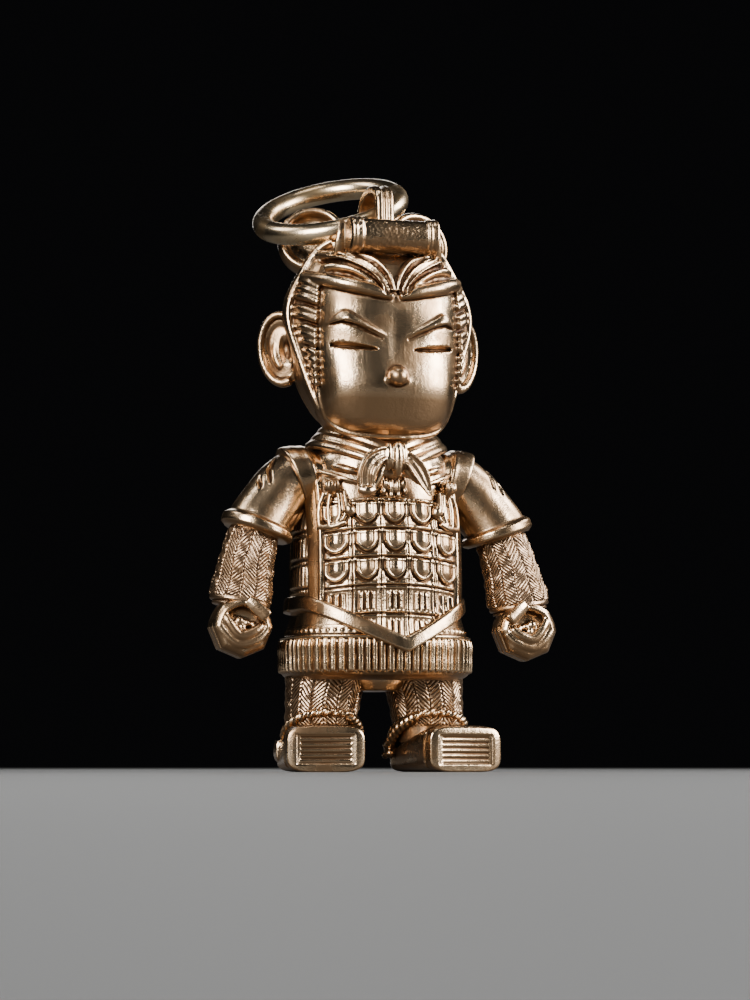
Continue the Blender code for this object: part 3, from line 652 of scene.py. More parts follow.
def draw_strap(bm):
    """The band that frames the face. It narrows under the chin."""
    left = [(-x, y, z) for z, x, y in reversed(STRAP_LINE)]
    right = [(x, y, z) for z, x, y in STRAP_LINE[1:]]
    path = through(left + right, 110)
    sections = []
    for index, centre in enumerate(path):
        out = heading(path, index).cross(BACK).normalized()
        if out.dot(centre - Vector((0, centre.y, 34))) < 0:
            out = -out
        size = min(max(STRAP_UNDER_CHIN + (centre.z - 27.5) * 0.14, STRAP_UNDER_CHIN), 1)
        sections.append([centre + (out * x + BACK * y) * size for x, y in STRAP_SECTION])
    loft(bm, sections)


def draw_nose(bm):
    """A round tip with a small wing on each side."""
    front = head_front(0, NOSE_Z)
    egg(bm, (0, front - 0.2, NOSE_Z), NOSE_RADII)
    for side in (-1, 1):
        egg(bm, (side * 0.7, front + 0.12, NOSE_Z - 0.34), NOSE_WING_RADII)


def draw_brow(bm, side):
    """A slanted ridge with a crest, steep below and sloping back above."""
    path = through([(side * x, 0, z) for x, z in BROW_LINE], 28)
    sections = []
    for index, centre in enumerate(path):
        high = float(flowing(BROW_SWELL, index / 27)[0])
        centre.y = head_front(centre.x, centre.z)
        sections.append(
            [
                centre + BACK * 0.4 - UP * 0.4 * high,
                *(centre + BACK * back * high + UP * rise * high for back, rise in BROW_CREST),
                centre + BACK * 0.4 + UP * 0.8 * high,
            ]
        )
    loft(bm, sections)


def draw_locks(bm, side):
    """The locks that sweep from the parting over the forehead."""
    for line, radius in zip(LOCK_LINES, LOCK_RADII):
        points = [(side * x, head_front(x, z) - 0.24, z) for x, z in line]
        radii = ((0, radius * 0.5), (0.3, radius * 0.85), (0.6, radius), (1, radius * 0.8))
        bar(bm, points, radii, count=30)


def draw_temple(bm, side):
    """The hair at the temple, a thin edge of it down the cheek, and its short locks."""
    heights = np.linspace(TEMPLE_LOW_Z, TEMPLE_HIGH_Z, 24)
    loft(bm, [[Vector((side * x, y, z)) for x, y in temple_plan(z, -0.26)] for z in heights])
    edge = []
    for z in CHEEK_EDGE_HEIGHTS:
        x = flowing(FACE_OUTLINE, z)[0] * 0.975
        edge.append((side * x, head_front(x, z) + 0.04, z))
    bar(bm, edge, ((0, 0.05), (0.4, 0.18), (1, 0.16)), count=30)
    for z in TEMPLE_RIBS:
        share = (TEMPLE_RIBS[0] - z) / (TEMPLE_RIBS[0] - TEMPLE_RIBS[-1])
        plan = temple_plan(z, 0.2)
        slant = 0.5 - 0.24 * share
        points = (
            (side * (plan[2][0] - 0.1), plan[2][1] - 0.1, z + slant),
            (side * plan[1][0], plan[1][1] - 0.14, z + 0.06),
            (side * (plan[0][0] + 0.12 + 0.2 * share), plan[0][1] - 0.02, z - slant),
        )
        radius = 0.33 - 0.07 * share
        bar(bm, points, ((0, radius * 0.6), (0.5, radius), (1, radius)), 10)


def ear_turn(side):
    """An ear leans out from the head and faces forward."""
    out = Matrix.Rotation(math.radians(32 * side), 3, "Z")
    tilt = Matrix.Rotation(math.radians(6 * side), 3, "Y")
    return tilt @ out


def draw_ear(bm, side):
    """A shell with a rolled rim and an inner ridge round its bowl."""
    turn = ear_turn(side)
    middle = Vector((side * EAR_PLACE[0], *EAR_PLACE[1:]))
    egg(bm, middle + turn @ Vector((0, 0.35, 0)), EAR_SHELL_RADII, turn)

    def rim(points, radii, count=40):
        path = [middle + turn @ Vector((side * x, y, z)) for x, y, z in points]
        bar(bm, path, radii, 10, count, hint=turn @ BACK)

    outer = []
    for step in range(11):
        angle = math.radians(128 - 23.5 * step)
        x, z = EAR_RIM_RADII[0] * math.cos(angle), EAR_RIM_RADII[1] * math.sin(angle)
        outer.append((x, -0.15, z))
    rim(outer, ((0, 0.3), (0.5, 0.3), (1, 0.4)))
    rim(EAR_FOLD, ((0, 0.16), (0.5, 0.34), (1, 0.3)), 30)
    egg(bm, middle + turn @ Vector((side * -0.95, -0.2, -0.2)), (0.34, 0.4, 0.8), turn, 3)


def off_lines(points, lines):
    """How far each point, seen from the front, lies from the nearest of some lines."""
    flat = np.column_stack((np.abs(points[:, 0]), points[:, 2]))
    nearest = np.full(len(flat), 9.0)
    for line in lines:
        for start, end in zip(line, line[1:]):
            run = np.subtract(end, start)
            share = np.clip((flat - start) @ run / (run @ run), 0, 1)[:, None]
            nearest = np.minimum(nearest, np.hypot(*(flat - start - share * run).T))
    return nearest


def lock_grooves():
    """The lines that part the upper locks, each half way between two of them."""
    paths = [through([(x, 0, z) for x, z in line], 12) for line in LOCK_LINES[:-1]]
    grooves = []
    for lower, upper in zip(paths, paths[1:]):
        middles = [(a + b) / 2 for a, b in zip(lower, upper)]
        grooves.append([(spot.x, spot.z) for spot in middles])
    return grooves


def carve_head(points, normals):
    """Swells the face, cuts the eyes, creases and ears' bowls, and combs the hair behind."""
    x, y, z = points.T
    front = rise_between(-3.2, -4.6, y) * rise_between(5.9, 4.4, np.abs(x))
    along_eye = np.clip((np.abs(x) - EYE_X) / EYE_HALF_WIDTH, -1, 1)
    lid = 0.2 * np.sqrt(1 - along_eye**2) * (1 + 0.35 * along_eye)
    off = np.abs(z - EYE_Z - 0.2 * along_eye)
    slit = np.clip(1 - off / (lid + 0.07), 0, 1) ** 0.7 * (np.abs(along_eye) < 1) * (front > 0)
    swell = flowing(FACE_SWELL, z)[:, 0] * front
    beside_locks = off_lines(points, lock_grooves())
    cut = LOCK_GROOVE_DEPTH * rise_between(0.28, 0.02, beside_locks) * (z > 37.9)
    under_brow = off_lines(points, (UNDER_BROW,))
    cut += BROW_GROOVE_DEPTH * rise_between(0.16, 0.02, under_brow)
    cut *= y < -2.2
    crease = rise_between(0.7, 0.0, np.abs(x)) * rise_between(32.2, 33.2, z)
    crease = crease * rise_between(36.6, 34.8, z) * front
    valley = rise_between(1.3, 0.0, np.abs(x)) * rise_between(33.4, 34.8, z)
    valley = valley * rise_between(37.6, 35.8, z) * front
    points = points - normals * cut[:, None]
    points[:, 1] += EYE_DEPTH * slit + FROWN_DEPTH * crease + FOREHEAD_DEPTH * valley - swell
    # Each ear's bowl, and the pit within it.
    for side in (-1, 1):
        turn = np.array(ear_turn(side))
        own = (points - (side * EAR_PLACE[0], *EAR_PLACE[1:])) @ turn
        across, deep, up = own[:, 0] * side, own[:, 1], own[:, 2]
        bowl = np.hypot(across / EAR_BOWL_RADII[0], up / EAR_BOWL_RADII[1])
        pit = np.hypot((across + 0.3) / 0.6, (up + 0.1) / 1.4)
        sunk = 0.28 * rise_between(1.0, 0.75, bowl) + 0.34 * rise_between(1.0, 0.3, pit)
        sunk = sunk * (deep < 0.1) * (side * points[:, 0] > 6.6)
        points += np.outer(sunk, turn[:, 1])
    # Combed strands round the back of the head, which leave the ears out.
    turn = np.arctan2(x, y - HAIR_MIDDLE_Y)
    behind = rise_between(0.6, 1.6, y) * rise_between(27.6, 29.5, z)
    behind = behind * rise_between(42.0, 40.8, z)
    off_ear = np.hypot(np.abs(x) - 8.4, (z - EAR_PLACE[2]) * 0.55) - 1.4
    behind = behind * rise_between(0.2, 1.0, off_ear)
    wave = turn * 26 + 0.5 * np.sin(z * 0.9)
    comb = np.abs(np.sin(wave)) * 0.16 + np.abs(np.sin(wave * 2.7 + z * 0.3)) * 0.05
    points += normals * ((comb - 0.1) * behind)[:, None]
    return points


def round_eyes(points):
    """Tells which points lie near an eye."""
    x, y, z = points.T
    return (np.abs(np.abs(x) - EYE_X) < 2.2) & (np.abs(z - EYE_Z) < 0.75) & (y < -3.6)


cast("head", draw_head, combed_brass, voxel=0.092, carve=carve_head, kept=0.46, finer=round_eyes)


# Cap: a low base with a rolled cloth across its front, two short stays beside the roll,
# two dished curls standing behind and the grooved bail that carries the ring. It is part
# of the same casting. The roll was stippled in the wax, and the rest was left smooth.
CAP_BASE = ((40.6, 4.35, 4.95), (41.4, 4.0, 4.7), (42.2, 3.4, 4.3), (43.2, 1.9, 3.4))
ROLL_PLACE = (-5.25, 42.95)
# From the middle out along the roll: its distance, and its radius there.
ROLL_END = (
    (2.5, 1.32),
    (2.62, 1.24),
    (2.72, 1.44),
    (2.94, 1.5),
    (3.1, 1.4),
    (3.22, 1.46),
    (3.42, 1.5),
    (3.6, 1.42),
    (3.68, 1.1),
)
STAY_LINE = ((3.86, -4.0, 44.35), (3.9, -4.3, 43.2), (4.05, -4.1, 42.1), (4.2, -3.7, 41.2))
CURL_PLACE = (4.3, 3.75, 43.75)
CURL_AXIS = (0.28, -0.93, 0.2)
CURL_RADIUS = 2.95
# Along the curl's axis, and the share of its radius there: the back, the rim and the dish.
CURL_PROFILE = (
    (-1.15, 0.5),
    (-1.05, 0.78),
    (-0.6, 0.95),
    (0.2, 1.0),
    (0.9, 0.98),
    (1.25, 0.92),
    (1.32, 0.84),
    (1.15, 0.76),
    (0.75, 0.71),
    (0.5, 0.6),
    (0.4, 0.3),
)
# The bail's middle line as (y, z), and its grooved section, across and outwards.
BAIL_LINE = (
    (-3.0, 42.3),
    (-2.95, 44.95),
    (-2.53, 46.96),
    (-0.25, 47.6),
    (2.21, 46.96),
    (2.87, 44.95),
    (3.23, 42.3),
)
BAIL_SECTION = (
    (0.75, 0.22),
    (0.62, 0.38),
    (0.3, 0.42),
    (0.12, 0.2),
    (-0.12, 0.2),
    (-0.3, 0.42),
    (-0.62, 0.38),
    (-0.75, 0.22),
    (-0.72, -0.34),
    (0.72, -0.34),
)


def draw_trunk(bm, rows, middle_y, power):
    """A trunk of level sections through rows of (height, half width, half depth)."""
    sections = []
    for z in levels(rows, 14):
        half_x, half_y = flowing(rows, z)
        sections.append(oval(Vector((0, middle_y, z)), ACROSS, BACK, half_x, half_y, power, 48))
    loft(bm, sections)


def draw_cap(bm):
    """The cap's base, its roll with a stay at each end, the curls and the bail."""
    draw_trunk(bm, CAP_BASE, -0.1, 2.4)
    roll = [(-x, radius) for x, radius in reversed(ROLL_END)] + list(ROLL_END)
    loft(bm, [oval(Vector((x, *ROLL_PLACE)), BACK, UP, size, size, 2.3, 48) for x, size in roll])
    for side in (-1, 1):
        stay = [(side * x, y, z) for x, y, z in STAY_LINE]
        bar(bm, stay, ((0, 0.3), (0.5, 0.5), (1, 0.4)), count=20, flat=0.42)
        draw_curl(bm, side)
    path = through([(0, y, z) for y, z in BAIL_LINE], 44)
    sections = []
    for index, centre in enumerate(path):
        out = ACROSS.cross(heading(path, index).normalized()).normalized()
        sections.append([centre + ACROSS * x + out * rise for x, rise in BAIL_SECTION])
    loft(bm, sections)


def draw_curl(bm, side):
    """A thick dished disc with a rolled rim, facing forward and a little outward."""
    x, y, z = CURL_PLACE
    axis = Vector((side * CURL_AXIS[0], *CURL_AXIS[1:])).normalized()
    level = axis.cross(UP).normalized()
    rise = level.cross(axis)
    sections = []
    for depth, share in along(CURL_PROFILE, 40):
        radius = CURL_RADIUS * share
        middle = Vector((side * x, y, z)) + axis * depth
        sections.append(oval(middle, level, rise, radius, radius, 2.0, 56))
    loft(bm, sections)


def carve_cap(points, normals):
    """Stipples the roll between its end bands with small uneven dimples."""
    x, y, z = points.T
    on_roll = np.hypot(y - ROLL_PLACE[0], z - ROLL_PLACE[1]) < 1.6
    between = rise_between(2.45, 2.25, np.abs(x)) * on_roll
    dimples = np.array([noise.noise(Vector(point) * 5.5) for point in points])
    return points + normals * (0.03 * dimples * between)[:, None]


rubbed_brass = brass("rubbed_brass", PALE, HONEY, shine=0.2, relief=0.000026, reach=1.15)
cast("cap", draw_cap, rubbed_brass, voxel=0.075, carve=carve_cap, kept=0.38)


# Armour: a sleeveless coat of scale plates, laced in rows, with bound edges, broad
# shoulders and a V shaped lower band over a plain flared hem. It is cast with the figure:
# the plates, their round lobes and their lacing are carved into the wax.
TORSO_POWER = 2.5
TORSO_MIDDLE = (6.6, 5.9)
# At each height, the trunk's half width and half depth.
TORSO_OUTLINE = (
    (10.2, 7.55, 6.3),
    (11.2, 7.2, 6.05),
    (12.9, 6.75, 5.9),
    (16.0, 6.6, 6.0),
    (19.0, 6.5, 5.85),
    (22.0, 6.2, 5.4),
    (24.2, 5.75, 4.75),
    (25.6, 4.7, 3.9),
    (26.6, 3.2, 2.9),
)
PLATE_TOP_Z = 21.55
PLATE_HIGH = 2.25
PLATE_WIDE = 2.25
LOBED_ROWS = 3
LOBE_HALF = 0.82
LOBE_DROP = 0.95
LACE_PITCH = 0.48
BINDING_X = 5.72
TIER_HIGH = 2.3
TIER_Z = 14.35
SLAT_PITCH = 0.62
KNOT_PITCH = 0.42
HEM_STUDS = 78
HEM_STUD_Z = 11.2
V_BAND_LOW = 10.05
V_BAND_TIP = 0.7
V_BAND_HALF = 6.5
SIDE_BAND_Z = 13.45
# The shoulder's sections outwards: x, z, half height, half depth and slant in degrees.
SHOULDER_LINE = (
    (3.6, 23.2, 2.0, 3.0, 88),
    (4.6, 23.6, 2.22, 2.9, 84),
    (5.5, 23.75, 2.36, 2.74, 78),
    (5.62, 23.76, 2.38, 2.74, 77),
    (5.66, 23.78, 2.56, 2.9, 77),
    (5.85, 23.78, 2.62, 2.92, 76),
    (6.1, 23.78, 2.6, 2.86, 74),
    (6.5, 23.75, 2.66, 2.84, 72),
    (7.0, 23.63, 2.72, 2.84, 68),
    (7.14, 23.57, 2.68, 2.8, 67),
    (7.16, 23.54, 2.3, 2.4, 67),
)


def squared(angle, power):
    """The cosine and sine of an angle, drawn out towards the corners of a square."""
    c, s = np.cos(angle), np.sin(angle)
    return np.sign(c) * np.abs(c) ** (2 / power), np.sign(s) * np.abs(s) ** (2 / power)


def even_turns(half_x, half_y, power):
    """A table that turns equal steps round a squarish section into its own angles."""
    angle = np.linspace(0, math.tau, 4000)
    across, deep = squared(angle, power)
    steps = np.hypot(np.diff(half_x * across), np.diff(half_y * deep))
    travel = np.concatenate(([0], np.cumsum(steps)))
    return travel / travel[-1], angle


def wrapped(name, shape, relief, metal, around, rows):
    """Wraps a fine blank round a limb or trunk, and raises its carving along its normals.

    The shape and the relief are told each point's turn round it and its height, from 0 to 1.
    """
    bm = bmesh.new()
    bmesh.ops.create_cone(
        bm, cap_ends=True, cap_tris=False, segments=around, radius1=1, radius2=1, depth=1
    )
    upright = [e for e in bm.edges if abs(e.verts[0].co.z - e.verts[1].co.z) > 0.5]
    bmesh.ops.subdivide_edges(bm, edges=upright, cuts=rows, use_grid_fill=True)
    bm.verts.index_update()
    flat = np.array([vert.co[:] for vert in bm.verts])
    turn = np.arctan2(flat[:, 1], flat[:, 0]) / math.tau % 1
    height = flat[:, 2] + 0.5
    for vert, spot in zip(bm.verts, shape(turn, height)):
        vert.co = spot
    bm.normal_update()
    bmesh.ops.recalc_face_normals(bm, faces=bm.faces)
    piece = new_object(name, bm)
    points, normals = read(piece.data)
    inward = rise_between(0, 0.012, height) * rise_between(1, 0.988, height)
    raised = points + normals * (relief(turn, height, points) * inward)[:, None]
    piece.data.vertices.foreach_set("co", raised.ravel())
    note_hollows(piece)
    finish_piece(piece, name, metal)


def trunk_shape(outline, even, rising=1.0):
    """A squarish trunk that follows an outline of (height, half width, half depth)."""
    low, high = outline[0][0], outline[-1][0]

    def shape(turn, height):
        z = low + (high - low) * height**rising
        half_x, half_y = flowing(outline, z).T
        across, deep = squared(np.interp(turn, *even), TORSO_POWER)
        return np.column_stack((half_x * across, half_y * deep, z))

    return shape


def band_height(x):
    """The middle height of the V shaped band in front. Its tip lies a little to one side."""
    reach = np.where(x > V_BAND_TIP, V_BAND_HALF - V_BAND_TIP, V_BAND_HALF + V_BAND_TIP)
    share = np.minimum(np.abs(x - V_BAND_TIP) / reach, 1)
    return V_BAND_LOW + (SIDE_BAND_Z - V_BAND_LOW) * share


def ridge(values, middle, half, soft=0.08):
    """One near the middle of a band, and nothing beyond its half width."""
    return rise_between(half + soft, half - soft, np.abs(values - middle))


def torso_relief(turn, height, points):
    """The carving of the coat: plates with lobes in front and behind, bars on the flanks."""
    x, y, z = points.T
    wide = np.abs(x)
    # Each plate is proud at its foot, with a beaded edge and a seam all round.
    drop = PLATE_TOP_Z - 0.014 * x**2 - z
    row = np.floor(drop / PLATE_HIGH)
    down = drop - row * PLATE_HIGH
    off = np.abs(x - np.round(x / PLATE_WIDE) * PLATE_WIDE)
    seam = PLATE_WIDE / 2 - off
    plate = 0.05 + 0.07 * down / PLATE_HIGH
    plate -= 0.2 * ridge(down, 0.0, 0.07, 0.05) + 0.2 * ridge(down, PLATE_HIGH, 0.07, 0.05)
    plate += 0.1 * ridge(down, 0.17, 0.09, 0.06) + 0.1 * ridge(down, 2.08, 0.09, 0.06)
    plate -= 0.2 * ridge(seam, 0.0, 0.05, 0.05)
    plate += 0.08 * ridge(seam, 0.17, 0.09, 0.06)
    # The upper rows have a lobe on each plate, with a bead round it and a swollen middle.
    below_lobe = np.maximum(down - LOBE_DROP, 0)
    tip = (off**1.65 + below_lobe**1.65) ** (1 / 1.65)
    inside = LOBE_HALF - np.where(down < LOBE_DROP, off, tip)
    lobe = 0.2 * rise_between(-0.05, 0.06, inside) + 0.06 * ridge(inside, 0.14, 0.08, 0.06)
    lobe -= 0.1 * ridge(inside, 0.3, 0.05, 0.05)
    lobe += 0.1 * rise_between(0.42, 0.75, inside)
    lobe -= 0.2 * rise_between(0.02, -0.08, inside) * rise_between(-0.26, -0.12, inside)
    plate = plate + lobe * (row < LOBED_ROWS) * rise_between(0.12, 0.2, down)
    # The lower rows are laced with upright bars.
    bars = np.abs((off + LACE_PITCH / 2) % LACE_PITCH - LACE_PITCH / 2)
    laced = (row >= LOBED_ROWS) * rise_between(0.7, 0.62, off) * ridge(down, 1.25, 0.72, 0.06)
    plate += laced * (0.34 * rise_between(0.21, 0.06, bars) - 0.12)
    panel = rise_between(5.28, 5.18, wide) * rise_between(21.75, 21.65, z + 0.012 * x**2)
    relief = panel * plate
    binding = ridge(wide, BINDING_X, 0.44, 0.06) * rise_between(24.0, 22.8, z)
    relief += 0.36 * binding + 0.08 * ridge(wide, BINDING_X - 0.3, 0.09, 0.05) * binding
    # Tiers of slats on the flanks, with a row of knots where two tiers meet.
    flank = rise_between(6.22, 6.34, wide) * rise_between(22.4, 22.0, z)
    tier = (z - TIER_Z) / TIER_HIGH
    rise = (tier - np.floor(tier)) * TIER_HIGH
    bar_off = np.abs((y / SLAT_PITCH) % 1 - 0.5) * SLAT_PITCH
    slats = 0.2 * rise_between(0.06, 0.15, bar_off) * ridge(rise, 1.2, 0.85, 0.08)
    knot_off = np.abs((y / KNOT_PITCH) % 1 - 0.5) * KNOT_PITCH
    knots = ridge(rise, 0.0, 0.16, 0.06) + ridge(rise, TIER_HIGH, 0.16, 0.06)
    slats += 0.16 * rise_between(0.04, 0.14, knot_off) * knots
    relief += flank * rise_between(14.0, 14.2, z) * slats
    # Below the band the hem is plain, with a row of studs over a bead.
    band = np.where(y < 0, band_height(x), SIDE_BAND_Z)
    hem = rise_between(0.1, -0.1, z - band)
    around = turn * HEM_STUDS
    stud = np.hypot((around - np.round(around)) * 0.52, z - HEM_STUD_Z)
    trim = 0.12 * rise_between(0.17, 0.06, stud) + 0.3 * ridge(z, 10.68, 0.13, 0.08)
    trim += 0.06 * ridge(z, 11.5, 0.05, 0.04)
    return relief * (1 - hem) + hem * trim


torso_even = even_turns(*TORSO_MIDDLE, TORSO_POWER)
torso_shape = trunk_shape(TORSO_OUTLINE, torso_even)
wrapped("armour", torso_shape, torso_relief, rubbed_brass, around=480, rows=160)


def torso_point(x, z, lift):
    """A place on the coat's front, lifted off it."""
    half_x, half_y = flowing(TORSO_OUTLINE, z)
    x = max(min(x, half_x * 0.995), -half_x * 0.995)
    y = half_y * (1 - abs(x / half_x) ** TORSO_POWER) ** (1 / TORSO_POWER)
    slope_x = math.copysign(abs(x / half_x) ** (TORSO_POWER - 1), x) / half_x
    slope_y = (y / half_y) ** (TORSO_POWER - 1) / half_y
    length = math.hypot(slope_x, slope_y)
    return Vector((x + lift * slope_x / length, -(y + lift * slope_y / length), z))


def draw_coat_edges(bm):
    """The lower band, level round the flanks and a V in front, and the two shoulders."""
    sections = []
    for step in range(160):
        angle = np.interp(step / 160, *torso_even)
        c, s = math.cos(angle), math.sin(angle)
        x = math.copysign(abs(c) ** (2 / TORSO_POWER), c)
        y = math.copysign(abs(s) ** (2 / TORSO_POWER), s)
        z = float(band_height(x * 6.9)) if s < 0 else SIDE_BAND_Z
        half_x, half_y = flowing(TORSO_OUTLINE, z)
        middle = Vector((x * half_x, y * half_y, z))
        out = Vector((x / half_x, y / half_y, 0)).normalized()
        low = 0.62 if s > 0 else 0.62 - 0.17 * min(max(abs(x) * 5 - 3.8, 0), 1)
        profile = (
            (-0.5, -0.66),
            (low - 0.02, -0.66),
            (low + 0.12, -0.52),
            (low + 0.04, 0.36),
            (low - 0.08, 0.58),
            (0.1, 0.66),
            (-0.5, 0.66),
        )
        sections.append([middle + out * lift + Vector((0, 0, rise)) for lift, rise in profile])
    loft(bm, sections, hoop=True)
    for side in (-1, 1):
        draw_shoulder(bm, side)
        for x in (0.85, 1.7, 2.55):
            cord = [torso_point(side * (x - 0.5), 21.62, 0.18), torso_point(side * x, 21.6, 0.2)]
            bar(bm, cord, ((0, 0.16), (1, 0.14)), 8, 6, hint=UP)


def draw_shoulder(bm, side):
    """The coat's broad shoulder, ending in a clean edge over the sleeve."""
    sections = []
    for x, z, half, deep, slant in SHOULDER_LINE:
        slant = math.radians(slant)
        rise = Vector((side * math.cos(slant), 0, math.sin(slant)))
        sections.append(oval(Vector((side * x, -0.1, z)), rise, BACK, half, deep, 2.2, 56))
    loft(bm, sections)


cast("coat_edges", draw_coat_edges, rubbed_brass, voxel=0.085, kept=0.35)


# Scarf: a cloth wound round the neck and tied in front, with a drooping bow, a tuft of ends under
# the knot and a ribbon tied on each side of the chest. All are cast with the body, and their
# hollows are painted dark, partly patina and partly painted shade.
SCARF_FOLDS = 3
FOLD_TOP_Z = 25.7
FOLD_DROP = 0.75
FOLD_SECTION = (0.58, 0.42)
KNOT_PLACE = (0.1, -6.35, 24.75)
KNOT_RADII = (0.52, 0.7, 1.5)
# The neck under the folds and the cloth over the upper chest: at each height, the half
# width and half depth.
NECK = ((23.9, 5.3, 4.7), (25.2, 5.2, 4.6), (26.3, 4.8, 4.3), (27.3, 4.1, 3.8), (29.2, 3.9, 3.6))
YOKE = ((22.6, 5.0, 4.4), (23.3, 5.45, 4.9), (24.2, 5.7, 5.1), (25.2, 5.6, 4.85), (26.3, 4.8, 4.1))
# Creases of the cloth below the scarf, each from its outer to its inner end, as (x, z).
CHEST_FOLDS = (((5.4, 24.9), (2.2, 23.7)), ((5.4, 24.1), (2.6, 22.9)))
# Each ribbon of the bow, from the knot: x, y and z of its middle and its half width.
LOOSE_RIBBON = (
    (0.3, -6.0, 25.3, 0.3),
    (1.1, -6.5, 25.2, 0.5),
    (2.1, -6.75, 24.6, 0.64),
    (2.6, -6.8, 23.6, 0.66),
    (2.55, -6.6, 22.4, 0.62),
)
POINTED_RIBBON = (
    (0.3, -6.0, 25.1, 0.3),
    (1.0, -6.45, 24.85, 0.48),
    (1.65, -6.6, 24.1, 0.6),
    (2.2, -6.55, 23.2, 0.52),
    (2.85, -6.35, 21.9, 0.1),
)
# A ribbon's section, across and outwards, with a raised hem along both edges.
RIBBON_SECTION = (
    (-1.0, -0.8),
    (1.0, -0.8),
    (1.12, 0.2),
    (1.0, 0.75),
    (0.74, 0.7),
    (0.5, 0.0),
    (0.0, 0.3),
    (-0.5, 0.0),
    (-0.74, 0.7),
    (-1.0, 0.75),
    (-1.12, 0.2),
)
# The round knot on each side of the chest, as (x, z), and its radii.
CHEST_KNOT = (4.4, 22.65)
CHEST_KNOT_RADII = (0.66, 0.62, 0.64)
# The tuft of ends under the knot: the x, z and height of each.
TUFT = ((-0.75, 22.9, 0.6), (-0.25, 22.6, 0.75), (0.3, 22.65, 0.7), (0.8, 22.95, 0.55))
# The bars of the loop beside each chest ribbon, as (x, z), and their radii.
LOOP_BARS = (
    (((5.0, 22.2), (5.3, 21.3), (5.4, 20.4), (5.4, 19.5)), 0.25),
    (((4.65, 22.1), (4.8, 21.2), (4.85, 20.4), (4.8, 19.5)), 0.22),
    (((4.15, 22.0), (4.1, 21.0), (4.15, 20.2), (4.4, 19.7)), 0.22),
    (((3.75, 19.75), (4.6, 19.4), (5.5, 19.4)), 0.25),
)


def draw_fold(bm, fold):
    """One turn of the scarf, which dips in front and rises to the nape."""
    front_z = FOLD_TOP_Z - FOLD_DROP * fold
    half_x, half_y = 4.35 + 0.5 * fold, 4.2 + 0.36 * fold
    climb = (0.44 - 0.01 * fold) * half_x
    sections = []
    for step in range(96):
        angle = math.tau * step / 96
        c, s = math.cos(angle), math.sin(angle)
        z = front_z + (climb if s > 0 else climb * abs(c))
        middle = Vector((half_x * c, half_y * s - 0.2 - 0.5 * max(-s, 0) ** 3, z))
        ray = Vector((c, s, -0.35)).normalized()
        sections.append(oval(middle, ray, UP, *FOLD_SECTION, 2.0, 12))
    loft(bm, sections, hoop=True)


def draw_scarf(bm):
    """The cloth round the neck, its turns, the knot, the bow and the tuft."""
    draw_trunk(bm, NECK, -0.2, 2.1)
    draw_trunk(bm, YOKE, -0.15, 2.35)
    for fold in range(SCARF_FOLDS):
        draw_fold(bm, fold)
    egg(bm, Vector(KNOT_PLACE), KNOT_RADII)
    for side in (-1, 1):
        for (x, z), (x_end, z_end) in CHEST_FOLDS:
            spots = [(x, z), ((x + x_end) / 2, (z + z_end) / 2 - 0.12), (x_end, z_end)]
            line = [torso_point(side * x, z, 0.28) for x, z in spots]
            bar(bm, line, ((0, 0.2), (0.4, 0.26), (1, 0.12)), 10)
        egg(bm, Vector((side * 0.62, -6.15, 25.0)), (0.42, 0.6, 1.15))
        draw_chest_ribbon(bm, side)
    draw_bow_ribbon(bm, -1, LOOSE_RIBBON)
    draw_bow_ribbon(bm, 1, POINTED_RIBBON)
    turned_up = ((-3.15, -6.5, 22.3), (-2.5, -6.75, 22.15), (-1.85, -6.6, 22.3))
    bar(bm, turned_up, ((0, 0.3), (0.5, 0.42), (1, 0.3)))
    returning = ((-1.9, -6.2, 22.5), (-1.45, -6.25, 23.3), (-1.1, -6.2, 24.1), (-0.4, -6.0, 24.7))
    bar(bm, returning, ((0, 0.3), (0.5, 0.32), (1, 0.25)), flat=0.7)
    returning = ((2.5, -6.0, 22.6), (1.5, -6.1, 23.3), (0.9, -6.1, 24.0), (0.3, -5.95, 24.6))
    bar(bm, returning, ((0, 0.15), (0.5, 0.26), (1, 0.25)), flat=0.7)
    for x, z, high in TUFT:
        egg(bm, torso_point(x, z, 0.35), (0.26, 0.4, high))
        egg(bm, torso_point(x * 1.15, z - 0.65, 0.25), (0.2, 0.3, 0.3))


def draw_bow_ribbon(bm, side, rows):
    """A flat ribbon with a raised hem along both edges, hollow between them."""
    spots = along(rows, 30)
    path = [Vector((side * x, y, z)) for x, y, z, _ in spots]
    sections = []
    for index, (middle, half) in enumerate(zip(path, spots[:, 3])):
        ahead = heading(path, index)
        across = ahead.cross(BACK).normalized() * half
        out = across.cross(ahead).normalized() * (0.3 + 0.1 * half)
        if out.y > 0:
            across, out = -across, -out
        sections.append([middle + across * wide + out * rise for wide, rise in RIBBON_SECTION])
    loft(bm, sections)


def draw_chest_ribbon(bm, side):
    """A round knot of three strands with a falling tail, and a loop of bars beside it."""

    def on_chest(spots, lift):
        return [torso_point(side * x, z, lift) for x, z in spots]

    egg(bm, torso_point(side * CHEST_KNOT[0], CHEST_KNOT[1], 0.5), CHEST_KNOT_RADII)
    for strand in (-1, 0, 1):
        place = torso_point(side * (CHEST_KNOT[0] + 0.34 * strand), CHEST_KNOT[1] + 0.1, 0.9)
        egg(bm, place, (0.18, 0.42, 0.5), fine=3)
    hem = on_chest(((3.6, 22.05), (4.4, 22.05), (5.1, 22.05)), 0.3)
    bar(bm, hem, ((0, 0.2), (1, 0.2)), 8, 8, hint=UP)
    for line, radius in LOOP_BARS:
        bar(bm, on_chest(line, 0.4), ((0, radius * 0.8), (0.6, radius), (1, radius)), 10, 24)
    tail = on_chest(((3.75, 22.3), (3.65, 21.3), (3.3, 20.3)), 0.42)
    bar(bm, tail, ((0, 0.2), (0.5, 0.3), (0.85, 0.46), (1, 0.3)), count=24)


cast("scarf", draw_scarf, rubbed_brass, voxel=0.078, kept=0.42)


